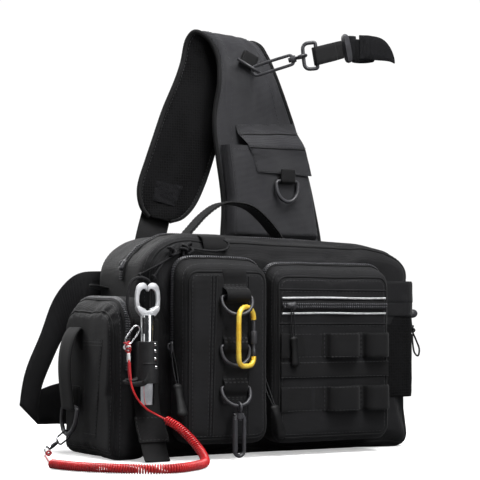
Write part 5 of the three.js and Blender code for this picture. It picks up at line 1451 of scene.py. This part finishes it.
class TACKLE_OT_gripper(Builder):
    """Makes the steel fish gripper, its rubber holder and the lanyard's fittings"""
    bl_idname = "tackle.gripper"
    bl_label = "Fish gripper"

    def build(self, cloth, hard, stage):
        low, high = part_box("gripper_tube")
        middle = (low + high) / 2
        tube_rows = ((0.0066, 0), (0.0073, 0.0004), (0.0075, 0.0012), (0.0075, 0.0905), (0.0071, 0.0915),
                     (0.006, 0.0918))
        body = lathe("gripper_body", tube_rows, Vector((middle.x, middle.y, low.z)), Vector((0, 0, 1)), 48)
        finish_piece(body, "stainless_steel", "steel", BAG, ["gripper_tube"])
        # A dark rubber rod along the tube stands for the open slot: painted shade of the slot's inside.
        slot = [Vector((middle.x + x * MM, middle.y + y * MM, z * MM)) for x, y, z in
                ((-6.2, -4.4, 147), (-6.2, -4.4, 141), (-6.2, -4.4, 131))]
        finish_piece(tube("gripper_slot", slot, 0.0013, sides=10), "moulded_rubber", "rubber")
        centre = middle.x
        for side, way in (("left", -1), ("right", 1)):
            jaw = plate(f"gripper_jaw_{side}", [(centre + way * x * MM, z * MM) for x, z in JAW],
                        low.y + 0.0052, 0.003)
            finish_piece(jaw, "satin_steel", "steel", f"jaw_{side}", [f"jaw_{side}"])
        cheeks = [plate("piece", [(centre + x * MM, z * MM) for x, z in FORK], y, 0.0016)
                  for y in (low.y + 0.0034, low.y + 0.0084)]
        pins = [lathe("piece", ((0.0014, -0.0003), (0.0014, 0.0002), (0.0009, 0.0006)),
                      Vector((centre + x * MM, low.y + 0.0034, 0.1515)), Vector((0, -1, 0)), 16)
                for x in (-3.5, 3.5)]
        finish_piece(joined("gripper_fork", cheeks + pins), "satin_steel", "steel")
        holder = refined("gripper_holder_rubber", ["gripper_holder"], 0.0, 1, 40)
        finish_piece(holder, "moulded_rubber", "rubber", BAG, ["gripper_holder"])
        form = tree_of(holder)
        places = ((-168.8, 119.6), (-168.8, 112.9), (-168.9, 105.1), (-166.6, 96.3))
        dome = ((0.0017, -0.0002), (0.0017, 0.0004), (0.0012, 0.0010), (0.0003, 0.0012))
        rivets = [lathe("piece", dome, p, n, 18)
                  for p, n in settle([mm(x, -100, z) for x, z in places], form)]
        finish_piece(joined("holder_rivets", rivets), "stainless_steel", "steel")
        rim = settle([mm(-186 + 23.5 * k / 30, -100, 100.5) for k in range(31)], form, 0.0001)
        finish_piece(tube("holder_ridge", [p for p, n in rim], 0.0006, sides=8), "moulded_rubber", "rubber")
        places = ((-186, 80.4), (-183, 82.4), (-180.5, 86), (-178.8, 91))
        laid = settle([mm(x, -100, z) for x, z in places], form, 0.0004)
        free = [mm(-201, -88.5, 83), mm(-197.4, -89.6, 81.2), mm(-191.5, -91, 80)]
        curl = smooth_path(free + [p for p, n in laid], 36)
        swells = ((0, 1.2), (0.12, 1.9), (0.25, 1.5), (0.45, 3.0), (0.65, 2.9), (0.85, 1.6), (1, 0.5))
        radii = [float(np.interp(i / (len(curl) - 1), *zip(*swells))) * MM for i in range(len(curl))]
        tongue = tube("holder_tongue", curl, radii, sides=14, flat=0.4, up=Vector((0, -1, 0)))
        finish_piece(tongue, "moulded_rubber", "rubber")
        finish_piece(refined("lanyard_fittings", ["lanyard_link", "lanyard_clip"], 0.00015),
                     "stainless_steel", "steel", BAG, ["lanyard_link", "lanyard_clip"])
        self.loops()

    def loops(self):
        """The tied loops, bead and sleeve at the lanyard's ends."""
        at_clip = route(((-250.6, -1, 5.2), (-247.6, -0.6, 7.4), (-244.6, -0.8, 5.6), (-247.4, -1.2, 3.2),
                         (-250.6, -1.1, 4.8)), 30)
        red = [knot(mm(-196.3, -87.5, 119.5), 8 * MM, 0.0009, 0.5),
               knot(mm(-195.6, -88, 114), 6.5 * MM, 0.0009, 1.6),
               tube("piece", at_clip, 0.001, sides=8)]
        finish_piece(joined("lanyard_red_loops", red), "red_cord", "redcoil")
        white = [knot(mm(-196.9, -88.4, 116.5), 7 * MM, 0.0008, 2.4)]
        bead_rows = ((0.0008, -0.0046), (0.0016, -0.004), (0.0019, -0.001), (0.0019, 0.001), (0.0016, 0.004),
                     (0.0008, 0.0046))
        bead = lathe("piece", bead_rows, mm(-196.3, -90.6, 106.5), Vector((0, 0, 1)), 18)
        finish_piece(joined("lanyard_bead", white + [bead]), "white_cord", "redcoil")
        sleeve = route(((-196.4, -92.3, 101.5), (-196.5, -93.2, 93), (-195.6, -93.9, 84)), 20)
        finish_piece(tube("lanyard_sleeve", sleeve, 0.0017, sides=12), "red_cord", "redcoil")


JAW = ((0.7, 179.4), (2.2, 181.6), (5.2, 182.8), (9.0, 182), (11.9, 179), (13.4, 173.4), (13.9, 166),
       (13.6, 160), (12.4, 155.2), (10.4, 152.6), (2.4, 152.6), (2.4, 155.8), (9.0, 158.6), (9.9, 163.5),
       (9.6, 169.5), (8.2, 174), (5.4, 176.4), (2.6, 176.4), (0.7, 173.8))
FORK = ((0, 153.8), (5.2, 155.2), (9.2, 158.4), (11, 158.9), (12.8, 157.4), (11.8, 154), (9.2, 150.6),
        (6.6, 148), (-6.6, 148), (-9.2, 150.6), (-11.8, 154), (-12.8, 157.4), (-11, 158.9), (-9.2, 158.4),
        (-5.2, 155.2))


def plate(name, outline, front, thick):
    """A flat plate with rounded edges from its outline in x and z, from a front face towards the back."""
    curve = bpy.data.curves.new(name, "CURVE")
    curve.dimensions, curve.fill_mode = "2D", "BOTH"
    line = curve.splines.new("POLY")
    line.points.add(len(outline) - 1)
    for point, (x, z) in zip(line.points, outline):
        point.co = (x, z, 0, 1)
    line.use_cyclic_u = True
    curve.extrude = thick / 2 - 0.0004
    curve.bevel_depth, curve.bevel_resolution, curve.offset = 0.0004, 2, -0.0004
    source = link(bpy.data.objects.new("outline", curve))
    source.rotation_euler = (math.pi / 2, 0, 0)
    source.location = (0, front + thick / 2, 0)
    bpy.context.view_layer.update()
    mesh = bpy.data.meshes.new_from_object(source.evaluated_get(bpy.context.evaluated_depsgraph_get()))
    mesh.transform(source.matrix_world)
    bpy.data.objects.remove(source)
    obj = link(bpy.data.objects.new(name, mesh))
    bm = bmesh.new()
    bm.from_mesh(mesh)
    bmesh.ops.remove_doubles(bm, verts=bm.verts, dist=1e-6)
    bm.to_mesh(mesh)
    bm.free()
    outwards(obj)
    shade(obj, 35)
    return obj


def knot(place, size, thick, tilt=0.0):
    """A drawn-up knot: a trefoil of cord."""
    turn = Matrix.Rotation(tilt, 3, "Z") @ Matrix.Rotation(1.2, 3, "X")
    line = []
    for k in range(72):
        t = 2 * math.pi * k / 72
        line.append(place + turn @ Vector((math.sin(t) + 2 * math.sin(2 * t),
                                           math.cos(t) - 2 * math.cos(2 * t),
                                           -1.4 * math.sin(3 * t))) * (size / 6))
    return tube("piece", line, thick, sides=8, closed=True)


PULLS = {
    "pull_main": (((-167.2, -12, 204), (-168.1, -13, 190), (-168.6, -13, 173)), (-1, 0, 0), 0.0024),
    "pull_tall": (((-142.9, -80, 115), (-143.5, -93, 84), (-143.4, -108, 47)), (0, -1, 0), 0.0056),
    "pull_wide": (((-36.6, -82, 89), (-36.6, -97, 66), (-34.6, -108.2, 48), (-26.8, -107.6, 21)), (0, -1, 0),
                  0.0052),
    "pull_face": (((-15, -108, 161), (-13, -108.4, 130), (-10.5, -108.2, 96)), (0, -1, 0), 0.0046),
}
GRIP_ROWS = ((0, 0.7), (0.03, 1.0), (0.1, 1.0), (0.13, 0.84), (0.45, 0.74), (0.8, 0.98), (0.93, 1.12),
             (1, 0.8))


class TACKLE_OT_pulls(Builder):
    """Makes the zip pulls: two thin cords that end in a waisted rubber grip"""
    bl_idname = "tackle.pulls"
    bl_label = "Zip pulls"

    def build(self, cloth, hard, stage):
        cords, grips = [], []
        for places, normal, width in PULLS.values():
            path = even_path(route(places, 60), 0.001)
            upper, lower = path[:int(len(path) * 0.6)], path[int(len(path) * 0.54):]
            sides = frames_along(upper, False, up=Vector(normal))
            for way in (-1, 1):
                line = [p + f[1] * (way * (0.0007 + 0.0012 * math.sin(math.pi * i / len(upper))))
                        for i, (p, f) in enumerate(zip(upper, sides))]
                cords.append(tube("piece", line, 0.0007, sides=8))
            radii = [width * np.interp(i / (len(lower) - 1), *zip(*GRIP_ROWS)) for i in range(len(lower))]
            grips.append(tube("piece", lower, [float(r) for r in radii], sides=16, flat=0.45,
                              up=Vector(normal)))
        finish_piece(joined("zip_pull_cords", cords), "braided_elastic", "rubber")
        finish_piece(joined("zip_pull_grips", grips), "soft_rubber", "rubber", BAG, list(PULLS))


LID_CORDS = {
    "lid_cord_long": ((-120, -70.6, 219.6), (-131, -71, 214.5), (-146, -71, 206.5), (-160, -67.5, 198),
                      (-168.8, -57.5, 191.6)),
    "lid_cord_short": ((-137, -70.6, 217.6), (-144, -70.8, 210), (-151, -70.2, 200.5),
                       (-158.6, -69.6, 189.5)),
    "lid_cord_loop": ((-120.6, -71, 220.4), (-112, -71.4, 219.2), (-98, -71.6, 217.8), (-84, -71.4, 217.8),
                      (-74.5, -70.6, 219.8), (-70.4, -69, 223.6), (-70.6, -67.2, 227.4), (-75, -65.4, 230)),
}


class TACKLE_OT_lid_trim(Builder):
    """Ties the knotted cords at the lid and bends the elastic loop behind the gripper's jaws"""
    bl_idname = "tackle.lid_trim"
    bl_label = "Lid cords and elastic loop"

    def build(self, cloth, hard, stage):
        for name, places in LID_CORDS.items():
            path = even_path(route(places, 60), 0.0015)
            piece = finish_piece(tube(name, path, 0.00125, sides=9), "braided_elastic", "rubber")
            tuple(path[0])
            round(line_length(path), 3)
            [tuple(p) for p in path]
        knots = [knot(mm(*p), size * MM, 0.00125 + 0.00003 * size, tilt) for p, size, tilt in (
            ((-120.5, -72, 220.2), 13, 0.4), ((-125, -72.4, 216.6), 11, 1.3), ((-139, -72, 217.6), 10.5, 0.9),
            ((-168.8, -57.5, 191.6), 3.4, 0.2), ((-158.6, -69.6, 189.5), 3.4, 0.8))]
        finish_piece(joined("lid_knots", knots), "braided_elastic", "rubber")
        tied = knot(LOCK + mm(3.2, -1, -18.5), 7.5 * MM, 0.0013, 0.6)
        tied.name = "drawstring_knot"
        finish_piece(tied, "braided_elastic", "rubber")
        band = route(((-190, -82, 146), (-194, -82.4, 160), (-193.2, -82.6, 175.5), (-188.6, -82.8, 185.4),
                      (-179.6, -83, 188.2), (-171, -82.8, 185), (-168, -80, 178)), 60)
        finish_piece(tube("gripper_loop", even_path(band, 0.0015), 0.0016, sides=10), "braided_elastic",
                     "rubber")


class TACKLE_OT_seams(Builder):
    """Sews the upright seams of the tall pocket and the cross seams of the wide pocket"""
    bl_idname = "tackle.seams"
    bl_label = "Panel seams"

    def build(self, cloth, hard, stage):
        ridges, lines = [], []

        def seam(form, start, end, offset):
            run = even_path([mm(*start), mm(*end)], SEAM_STEP)
            across = (run[-1] - run[0]).cross(Vector((0, -1, 0))).normalized()
            ridges.append(tube("piece", [p for p, n in settle(run, FORMS[form], 0.0)], 0.0009, sides=8))
            lines.append(settle([p + across * offset for p in run], FORMS[form], STRAP_SEAM_LIFT))
        for x, foot in ((-108, -112), (-104.2, -108.4), (-65.8, -66.4)):
            seam("tall", (x, -105.5, 190), (foot, -105.5, 26), 0.0022)
        for z in (177, 140.5):
            seam("wide", (-28, -103.5, z), (109, -103.5, z - 0.5), 0.0022)
        seam("wide", (109.5, -103.5, 182), (109.5, -103.5, 24), -0.0022)
        finish_piece(joined("panel_seams", ridges), "coated_nylon", "nylon")
        finish_piece(stitches("panel_stitching", lines), "thread", "nylon")


class TACKLE_OT_rod_pocket(Builder):
    """Wraps the rod pocket's front panel round the corner, with its hem and drawstring channel"""
    bl_idname = "tackle.rod_pocket"
    bl_label = "Rod pocket panel"

    def build(self, cloth, hard, stage):
        low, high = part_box("rod_pocket")
        plan = ((117, -69), (140, -69.4), (155, -69.2), (164, -66.5), (171.5, -59), (177.5, -49), (183, -38))
        for name, bottom, top, out, material in (
            ("rod_pocket_panel", low.z, 0.150, 0.0, "spacer_mesh"),
            ("rod_pocket_channel", 0.148, 0.1645, 0.0009, "coated_nylon"),
            ("rod_pocket_hem", 0.163, high.z + 0.001, 0.0014, "coated_nylon"),
        ):
            path = route([(x, y, 0) for x, y in plan], 60)
            sides = frames_along(path, False, up=Vector((0, 0, 1)))
            base = [p + f[1] * out for p, f in zip(path, sides)]
            lefts = [p + Vector((0, 0, bottom)) for p in base]
            rights = [p + Vector((0, 0, top)) for p in base]
            panel, _ = strip(name, lefts, rights, 0.0017, across=12,
                              ripple=lambda v, u, p: 0.0006 * noise.noise(p / 0.013))
            finish_piece(panel, material, "mesh")


SETTINGS = (TackleCloth, TackleHardware, TackleStage)
STEPS = (TACKLE_OT_stage, TACKLE_OT_lanyard, TACKLE_OT_compartment, TACKLE_OT_pockets, TACKLE_OT_zips,
         TACKLE_OT_ladder, TACKLE_OT_seams, TACKLE_OT_sling, TACKLE_OT_straps, TACKLE_OT_rod_pocket,
         TACKLE_OT_hardware, TACKLE_OT_pulls, TACKLE_OT_lid_trim, TACKLE_OT_gripper)


class TACKLE_PT_panel(bpy.types.Panel):
    """Lists the settings and the build steps"""
    bl_label = "Tackle Bag"
    bl_space_type = "VIEW_3D"
    bl_region_type = "UI"
    bl_category = "Tackle Bag"

    def draw(self, context):
        for group in ("tackle_cloth", "tackle_hardware", "tackle_stage"):
            settings = getattr(context.scene, group)
            column = self.layout.column(heading=group)
            for name in settings.__annotations__:
                column.prop(settings, name)
        for step in STEPS:
            self.layout.operator(step.bl_idname)


def register():
    for cls in (*SETTINGS, *STEPS, TACKLE_PT_panel):
        bpy.utils.register_class(cls)
    bpy.types.Scene.tackle_cloth = bpy.props.PointerProperty(type=TackleCloth)
    bpy.types.Scene.tackle_hardware = bpy.props.PointerProperty(type=TackleHardware)
    bpy.types.Scene.tackle_stage = bpy.props.PointerProperty(type=TackleStage)


def unregister():
    del bpy.types.Scene.tackle_cloth, bpy.types.Scene.tackle_hardware, bpy.types.Scene.tackle_stage
    for cls in reversed((*SETTINGS, *STEPS, TACKLE_PT_panel)):
        bpy.utils.unregister_class(cls)


def main():
    register()
    make_materials(bpy.context.scene.tackle_cloth, bpy.context.scene.tackle_hardware)
    for step in STEPS:
        group, name = step.bl_idname.split(".")
        getattr(getattr(bpy.ops, group), name)()


if __name__ == "__main__":
    main()
